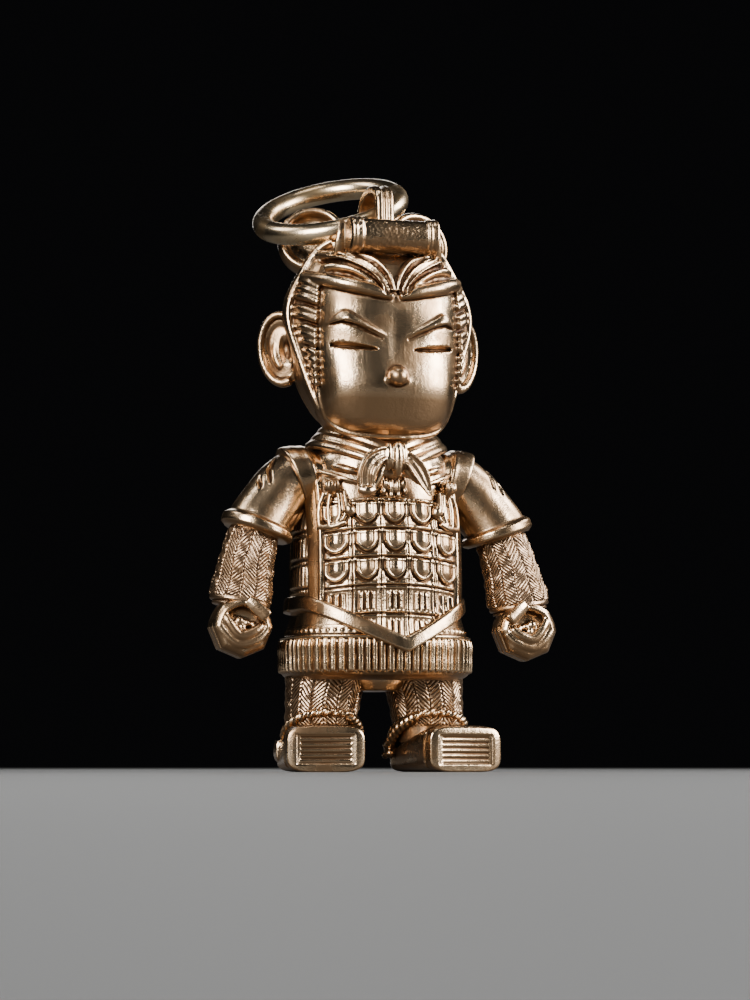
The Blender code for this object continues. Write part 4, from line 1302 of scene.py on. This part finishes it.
# Skirt: a short pleated skirt that shows under the coat's hem, cast with the body. Its
# pleats are narrow flutes over a plain rounded lip.
PLEATS = 68
PLEAT_DEPTH = 0.42
SKIRT_MIDDLE = (7.6, 6.25)
# At each height, the skirt's half width and half depth.
SKIRT_OUTLINE = (
    (7.35, 6.6, 5.25),
    (7.6, 7.2, 5.85),
    (7.9, 7.5, 6.18),
    (8.3, 7.58, 6.24),
    (9.2, 7.6, 6.25),
    (10.2, 7.62, 6.26),
    (10.6, 7.5, 6.2),
)


def skirt_relief(turn, height, points):
    """Pleats of slightly uneven width, above a plain lip."""
    z = points[:, 2]
    uneven = 0.12 * np.sin(turn * 53) + 0.1 * np.sin(turn * 97 + 1)
    flute = np.abs(np.sin(math.pi * (PLEATS * turn + uneven)))
    fluted = rise_between(7.85, 8.1, z)
    return fluted * (PLEAT_DEPTH * np.minimum(1.2 * flute, 1) ** 0.8 - 0.2)


skirt_even = even_turns(*SKIRT_MIDDLE, TORSO_POWER)
skirt_shape = trunk_shape(SKIRT_OUTLINE, skirt_even, rising=1.3)
wrapped("skirt", skirt_shape, skirt_relief, rubbed_brass, around=680, rows=36)


# Arms: short wide sleeves with a turned cuff, and forearms in a coat of herringbone
# stitches tied at the wrist. Cast with the body; the stitches are cut into the wax.
SIDES = ((-1, "right"), (1, "left"))
# The forearms and trousers get a darker copy of the brass, partly a duller patina and partly
# painted shade.
DULL_PALE = (0.38, 0.255, 0.16, 1)
DULL_HONEY = (0.2, 0.12, 0.062, 1)
# Along each limb: the share of its length, x, y and z, half width, half depth and slant.
SLEEVE_LINE = (
    (0.0, 4.2, 0.0, 23.6, 1.8, 2.3, 84),
    (0.22, 6.2, -0.1, 23.9, 2.25, 2.45, 70),
    (0.42, 7.7, -0.3, 22.85, 2.45, 2.5, 50),
    (0.62, 8.9, -0.6, 21.4, 2.5, 2.5, 34),
    (0.82, 9.85, -0.9, 20.1, 2.55, 2.52, 22),
    (1.0, 10.25, -1.0, 19.0, 2.6, 2.55, 18),
)
FOREARM_LINE = (
    (0.0, 10.1, -0.95, 20.0, 1.95, 1.9, 18),
    (0.3, 10.8, -1.3, 17.6, 2.08, 2.0, 16),
    (0.6, 11.3, -1.62, 15.5, 2.26, 2.16, 13),
    (0.88, 11.65, -1.85, 13.75, 2.42, 2.3, 10),
    (1.0, 11.75, -1.95, 13.0, 2.2, 2.1, 10),
)
# The short creases over the shoulder: the turn, share of the length and reach of each.
SLEEVE_CREASES = ((0.94, 0.4, 0.05), (0.89, 0.47, 0.065), (0.9, 0.56, 0.04))


def limb_shape(line, side):
    """A tube along a limb's line, slanted by degrees from the level."""

    def shape(turn, height):
        x, y, z, wide, deep, slant = flowing(line, height).T
        across, back = squared(turn * math.tau, 2.1)
        across, slant = wide * across, np.radians(slant)
        return np.column_stack(
            (side * (x + across * np.cos(slant)), y + deep * back, z + across * np.sin(slant))
        )

    return shape


def sleeve_relief(turn, height, points):
    """A turned cuff, a few short creases over the shoulder and a long fold in front."""
    relief = 0.4 * ridge(height, 0.915, 0.065, 0.03)
    for middle, share, reach in SLEEVE_CREASES:
        beside = (turn - middle + 0.5) % 1 - 0.5
        line = rise_between(0.02, 0.006, np.abs(height - share + beside * 0.9))
        relief = relief - 0.36 * line * rise_between(reach, reach * 0.4, np.abs(beside))
    fold = ridge(turn, 0.62 - 0.1 * height, 0.012, 0.012) * rise_between(0.35, 0.5, height)
    return relief + 0.16 * fold * rise_between(0.84, 0.78, height)


def herringbone(turn, along, columns, stitch, reach):
    """Slanting stitches that lean left and right in turn, from 0 to 1."""
    column = turn * columns
    off = np.abs(column % 1 - 0.5)
    lean = np.where(np.floor(column) % 2 == 0, 1.0, -1.0)
    sway = 0.08 * np.sin(along * 2.3 + np.floor(column) * 1.7)
    phase = (along + lean * (column % 1 - 0.5) * reach + sway) / stitch
    thread = np.sqrt(np.abs(np.sin(math.pi * phase)))
    return thread * rise_between(0.5, 0.43, off)


def forearm_relief(turn, height, points):
    """Worn herringbone from the cuff to a ridge at the wrist."""
    stitched = rise_between(0.1, 0.16, height) * rise_between(0.9, 0.88, height)
    swaying = turn + 0.006 * np.sin(height * 11)
    cloth = herringbone(swaying, height * 7.1, columns=14, stitch=0.32, reach=0.95)
    wrist = 0.1 * ridge(height, 0.93, 0.022, 0.02) - 0.12 * ridge(height, 0.965, 0.01, 0.012)
    worn = 0.75 + 0.25 * np.sin(turn * 41 + 9 * height) * np.sin(height * 37 + 5 * turn)
    return stitched * (0.24 * cloth * worn - 0.08) + wrist


patina_and_shade_darkened_brass = brass("patina_and_shade_darkened_brass", DULL_PALE, DULL_HONEY, shine=0.27, relief=0.000026, reach=2.0)
for side, label in SIDES:
    sleeve, forearm = limb_shape(SLEEVE_LINE, side), limb_shape(FOREARM_LINE, side)
    wrapped(label + "_sleeve", sleeve, sleeve_relief, rubbed_brass, around=150, rows=76)
    wrapped(label + "_forearm", forearm, forearm_relief, patina_and_shade_darkened_brass, around=220, rows=120)


# Fists: closed hands turned to the front, the fingers curled round an empty grip that
# could hold a thin shaft, the thumb across the inner side. Cast with the arms.
FIST_PLACE = (11.85, -2.3, 11.4)
# From the back of the fist to the grip in front: y from its middle, and its radius.
FIST_PROFILE = (
    (2.0, 1.4),
    (1.85, 1.85),
    (1.2, 2.3),
    (0.0, 2.48),
    (-1.2, 2.45),
    (-1.6, 2.35),
    (-1.85, 2.12),
    (-1.95, 1.9),
    (-1.75, 1.66),
    (-1.15, 1.5),
    (-0.95, 1.0),
)
FINGER_GAPS = (-1.2, -0.3, 0.6)
# Two of the curled fingers' folds, one inside the other: x outwards, y and z.
FINGER_FOLDS = (
    (
        (1.5, -1.6, 0.95),
        (1.15, -1.8, 0.25),
        (0.3, -1.9, -0.7),
        (-0.8, -1.9, -0.4),
        (-1.45, -1.75, 0.1),
    ),
    (
        (1.95, -1.5, 0.45),
        (1.6, -1.65, -0.35),
        (0.45, -1.75, -1.35),
        (-1.0, -1.75, -1.05),
        (-1.85, -1.6, -0.3),
    ),
)
# Lumps within the grip: x outwards, z and radius.
GRIP_LUMPS = ((0.3, 0.45, 0.45), (-0.3, 0.3, 0.34), (-0.8, 0.2, 0.34), (0.1, -0.05, 0.36))
# The thumb's ends, x outwards, y and z, and its section, across and forwards.
THUMB_START = (-0.3, -1.75, 2.15)
THUMB_END = (-1.8, -2.15, 0.75)
THUMB_SECTION = ((-1, -1), (-1, 0.4), (-0.2, 0.95), (0.75, 1), (1, 0.6), (1, -1))


def fist_middle(side):
    """The place that a fist is drawn round."""
    return Vector((side * FIST_PLACE[0], *FIST_PLACE[1:]))


def draw_fist(bm, side):
    """A fist with eight flats below, its fingers' folds, the grip's lumps and the thumb."""
    middle = fist_middle(side)

    def place(x, y, z):
        return middle + Vector((side * x, y, z))

    sections = []
    for y, radius in along(FIST_PROFILE, 36):
        section = []
        for step in range(48):
            angle = math.tau * step / 48
            eighth = angle % (math.tau / 8) - math.tau / 16
            corner = math.cos(math.tau / 16) / math.cos(eighth)
            reach = radius * (corner if math.sin(angle) < 0.1 else 0.3 * corner + 0.69)
            ray = Vector((side * math.cos(angle), 0, math.sin(angle)))
            section.append(middle + ray * reach + BACK * y)
        sections.append(section)
    loft(bm, sections)
    for fold in FINGER_FOLDS:
        path = [place(*spot) for spot in fold]
        bar(bm, path, ((0, 0.34), (0.5, 0.44), (1, 0.36)), count=40)
    for x, z, size in GRIP_LUMPS:
        egg(bm, place(x, -1.4, z), (size, 0.5, size), fine=3)
    start, end = place(*THUMB_START), place(*THUMB_END)
    across = (end - start).normalized().cross(BACK).normalized() * 0.52
    if across.x * side > 0:
        across = -across
    sections = []
    for share, size in ((0, 0.8), (0.3, 1.0), (0.94, 1.0), (1, 0.86)):
        spot = start.lerp(end, share)
        sections.append(
            [spot + (across * wide - BACK * 0.45 * rise) * size for wide, rise in THUMB_SECTION]
        )
    loft(bm, sections)


def carve_fist(side):
    """The carving of one fist."""
    middle = np.array(fist_middle(side))

    def carve(points, normals):
        """Parts the fingers, which lie one behind another round the lower half."""
        x, y, z = (points - middle).T
        low = rise_between(0.5, -0.1, z) * rise_between(1.9, 2.2, np.hypot(x, z))
        gap = sum(rise_between(0.17, 0.03, np.abs(y - place)) for place in FINGER_GAPS)
        return points - normals * (0.2 * gap * low)[:, None]

    return carve


for side, label in SIDES:
    draw, carve = (lambda bm: draw_fist(bm, side)), carve_fist(side)
    cast(label + "_fist", draw, rubbed_brass, voxel=0.08, rounding=1, carve=carve)


# Legs: trousers in the same herringbone cloth, gathered over square-toed shoes with
# grooved fronts. Twisted cords tie them at the ankle. The soles are flat, to stand on.
TROUSER_LINE = (
    (0.0, 4.5, 0.2, 2.4, 2.55, 2.55, 0),
    (0.25, 4.5, 0.2, 3.9, 2.75, 2.75, 0),
    (0.55, 4.3, 0.2, 5.8, 2.92, 2.92, 0),
    (0.8, 4.1, 0.2, 7.4, 3.1, 3.1, 0),
    (1.0, 4.0, 0.2, 8.6, 3.15, 3.15, 0),
)
CROTCH = ((6.5, 1.9, 2.4), (7.1, 2.6, 2.7), (8.4, 3.6, 3.0))
SHOE_TURN = math.radians(7)
SHOE_HEEL = (4.55, 3.2)
# From the heel forwards: the distance, and the shoe's half width and height there.
SHOE_STATIONS = (
    (0.0, 1.9, 1.7),
    (0.12, 2.3, 2.0),
    (0.6, 2.7, 2.3),
    (2.2, 2.9, 2.45),
    (4.6, 3.0, 2.95),
    (7.2, 3.1, 3.5),
    (8.9, 3.12, 3.62),
    (9.4, 3.08, 3.58),
    (9.68, 2.9, 3.4),
    (9.75, 2.6, 3.1),
)
# The panel in the toe: its half width, its foot and its top, and the grooves across it.
PANEL_HALF = 2.3
PANEL_LOW_Z = 0.6
PANEL_HIGH_Z = 2.95
PANEL_DEPTH = 0.1
GROOVE_PITCH = 0.42
GROOVE_DEPTH = 0.14
WELT_Y = -8.55
# The cord round the ankle: its middle, its radius, and how far its back drops below.
ANKLE = (4.5, 0.1, 3.35)
ANKLE_RADIUS = 2.95
ANKLE_DROP = 1.45
# The cord that rises on the inner side of the ankle, and its knots with their radii.
INNER_CORD = ((1.75, 1.9, 1.5), (1.4, 0.4, 2.4), (1.75, -1.2, 3.6), (2.9, -2.5, 4.55))
CORD_KNOTS = ((1.35, 0.9, 2.2, 0.45), (1.3, 0.2, 1.5, 0.32), (1.35, 1.7, 1.4, 0.32))


def trouser_relief(turn, height, points):
    """The same worn herringbone, finer, below the skirt."""
    swaying = turn + 0.005 * np.sin(height * 9)
    cloth = herringbone(swaying, height * 6.2, columns=18, stitch=0.34, reach=1.0)
    worn = 0.8 + 0.2 * np.sin(turn * 37 + 8 * height) * np.sin(height * 33 + 4 * turn)
    stitched = rise_between(0.2, 0.26, height) * rise_between(0.9, 0.86, height)
    return (0.23 * cloth * worn - 0.05) * stitched


def shoe_place(side):
    """Puts a shoe's own across, back and up on its foot, turned outwards."""
    turn = Matrix.Rotation(side * SHOE_TURN, 4, "Z")
    return Matrix.Translation((side * SHOE_HEEL[0], SHOE_HEEL[1], 0)) @ turn


def draw_cord(bm, points, twist, radius):
    """Two strands twisted round each other along a line."""
    path = through(points, 90)
    hint = Vector((0.3, 0.2, 1))
    for strand in (0, math.pi):
        line = []
        for index, spot in enumerate(path):
            ahead = heading(path, index)
            across = ahead.cross(hint).normalized()
            rise = across.cross(ahead).normalized()
            angle = strand + twist * index / 89 * math.tau
            line.append(spot + (across * math.cos(angle) + rise * math.sin(angle)) * radius)
        bar(bm, line, ((0, radius * 0.95), (1, radius * 0.95)), 8, 160, hint=hint)


def draw_shoe(bm, side):
    """A square-toed shoe, with the cords at its ankle and the tab beside its heel."""
    place = shoe_place(side)
    sections = []
    for forward in np.concatenate((np.linspace(0, 8.8, 26), np.linspace(8.95, 9.75, 12))):
        half, high = flowing(SHOE_STATIONS, forward)
        ring = oval(Vector((0, -forward, high / 2)), ACROSS, UP, half, high / 2, 4.6, 56)
        sections.append([place @ point for point in ring])
    loft(bm, sections)
    around = []
    for step in range(13):
        angle = math.tau * step / 12 - math.pi / 2
        out, back = ANKLE_RADIUS * math.cos(angle), ANKLE_RADIUS * math.sin(angle)
        z = ANKLE[2] - ANKLE_DROP * math.sin(angle)
        around.append((side * (ANKLE[0] + out), ANKLE[1] + back, z))
    draw_cord(bm, around, 14, 0.2)
    draw_cord(bm, [(side * x, y, z) for x, y, z in INNER_CORD], 6, 0.24)
    for x, y, z, size in CORD_KNOTS:
        egg(bm, Vector((side * x, y, z)), (size, size, size), fine=3)
    tab = [place @ Vector((side * 2.9, y, 1.7)) for y in (-2.8, -1.0)]
    bar(bm, tab, ((0, 0.85), (1, 0.85)), 16, 6, 0.36, ACROSS)


def carve_shoe(side):
    """The carving of one shoe."""
    back_to_shoe = np.array(shoe_place(side).inverted())

    def carve(points, normals):
        """Sinks a panel in the upright toe, with five level grooves across it."""
        own = points @ back_to_shoe[:3, :3].T + back_to_shoe[:3, 3]
        x, y, z = own.T
        front = rise_between(-9.2, -9.5, y)
        panel = rise_between(PANEL_HALF + 0.05, PANEL_HALF - 0.05, np.abs(x)) * front
        panel = panel * rise_between(PANEL_LOW_Z - 0.05, PANEL_LOW_Z + 0.05, z)
        panel = panel * rise_between(PANEL_HIGH_Z + 0.05, PANEL_HIGH_Z - 0.05, z)
        off = np.abs((z - 0.85) % GROOVE_PITCH - GROOVE_PITCH / 2)
        groove = rise_between(0.13, 0.03, off)
        groove = groove * rise_between(2.05, 1.95, np.abs(x)) * ridge(z, 1.72, 1.05, 0.05)
        welt = ridge(y, WELT_Y, 0.12, 0.06) * rise_between(0.2, 0.5, z)
        moved = points + normals * (0.1 * welt)[:, None]
        moved[:, 1] += PANEL_DEPTH * panel + GROOVE_DEPTH * panel * groove
        return moved

    return carve


def draw_crotch(bm):
    """The plain block between the legs, mostly under the skirt."""
    middles = [(Vector((0, 0.1, z)), half_x, half_y) for z, half_x, half_y in CROTCH]
    loft(bm, [oval(middle, ACROSS, BACK, x, y, 2.3, 32) for middle, x, y in middles])


for side, label in SIDES:
    trouser = limb_shape(TROUSER_LINE, side)
    wrapped(label + "_trouser", trouser, trouser_relief, patina_and_shade_darkened_brass, around=260, rows=90)
    draw, carve = (lambda bm: draw_shoe(bm, side)), carve_shoe(side)
    cast(label + "_shoe", draw, rubbed_brass, voxel=0.085, rounding=1, carve=carve)
cast("crotch", draw_crotch, rubbed_brass, voxel=0.12, kept=0.3)


# Jump ring: a loose ring of bare round brass wire, bent to a circle and soldered shut. It
# hangs in the bail and leans back over the cap. The frame's ring gives its middle.
RING_ACROSS = (0.9385, -0.2963, 0.177)
RING_BACK = (0.186, 0.866, 0.465)
RING_RADIUS = 5.7
WIRE_RADIUS = 0.9
WIRE_PALE = (0.68, 0.52, 0.33, 1)
WIRE_HONEY = (0.46, 0.31, 0.16, 1)

ring_low, ring_high = (Vector(corner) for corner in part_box("jump_ring"))
bm = bmesh.new()
bmesh.ops.create_circle(
    bm,
    segments=40,
    radius=WIRE_RADIUS,
    matrix=Matrix.Translation((RING_RADIUS, 0, 0)) @ Matrix.Rotation(math.pi / 2, 4, "X"),
)
bmesh.ops.spin(
    bm, geom=list(bm.edges), cent=(0, 0, 0), axis=UP, angle=math.tau, steps=220, use_merge=True
)
bmesh.ops.recalc_face_normals(bm, faces=bm.faces)
across = Vector(RING_ACROSS).normalized()
back = Vector(RING_BACK)
back = (back - across * back.dot(across)).normalized()
lean = Matrix((across, back, across.cross(back))).transposed().to_4x4()
ring_place = Matrix.Translation((ring_low + ring_high) / 2) @ lean @ Matrix.Scale(unit, 4)
bmesh.ops.transform(bm, matrix=ring_place, verts=bm.verts)
ring = new_object("ring", bm)
ring.data.shade_smooth()
# A plain wire has no hollows, so these stay at nought.
for label in ("edge", "hollow"):
    ring.data.attributes.new(label, "FLOAT", "POINT")
wire_brass = brass("wire_brass", WIRE_PALE, WIRE_HONEY, shine=0.22, relief=0.000014, grain=0.8)
ring.data.materials.append(wire_brass)
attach(ring, "root")
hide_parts("jump_ring")
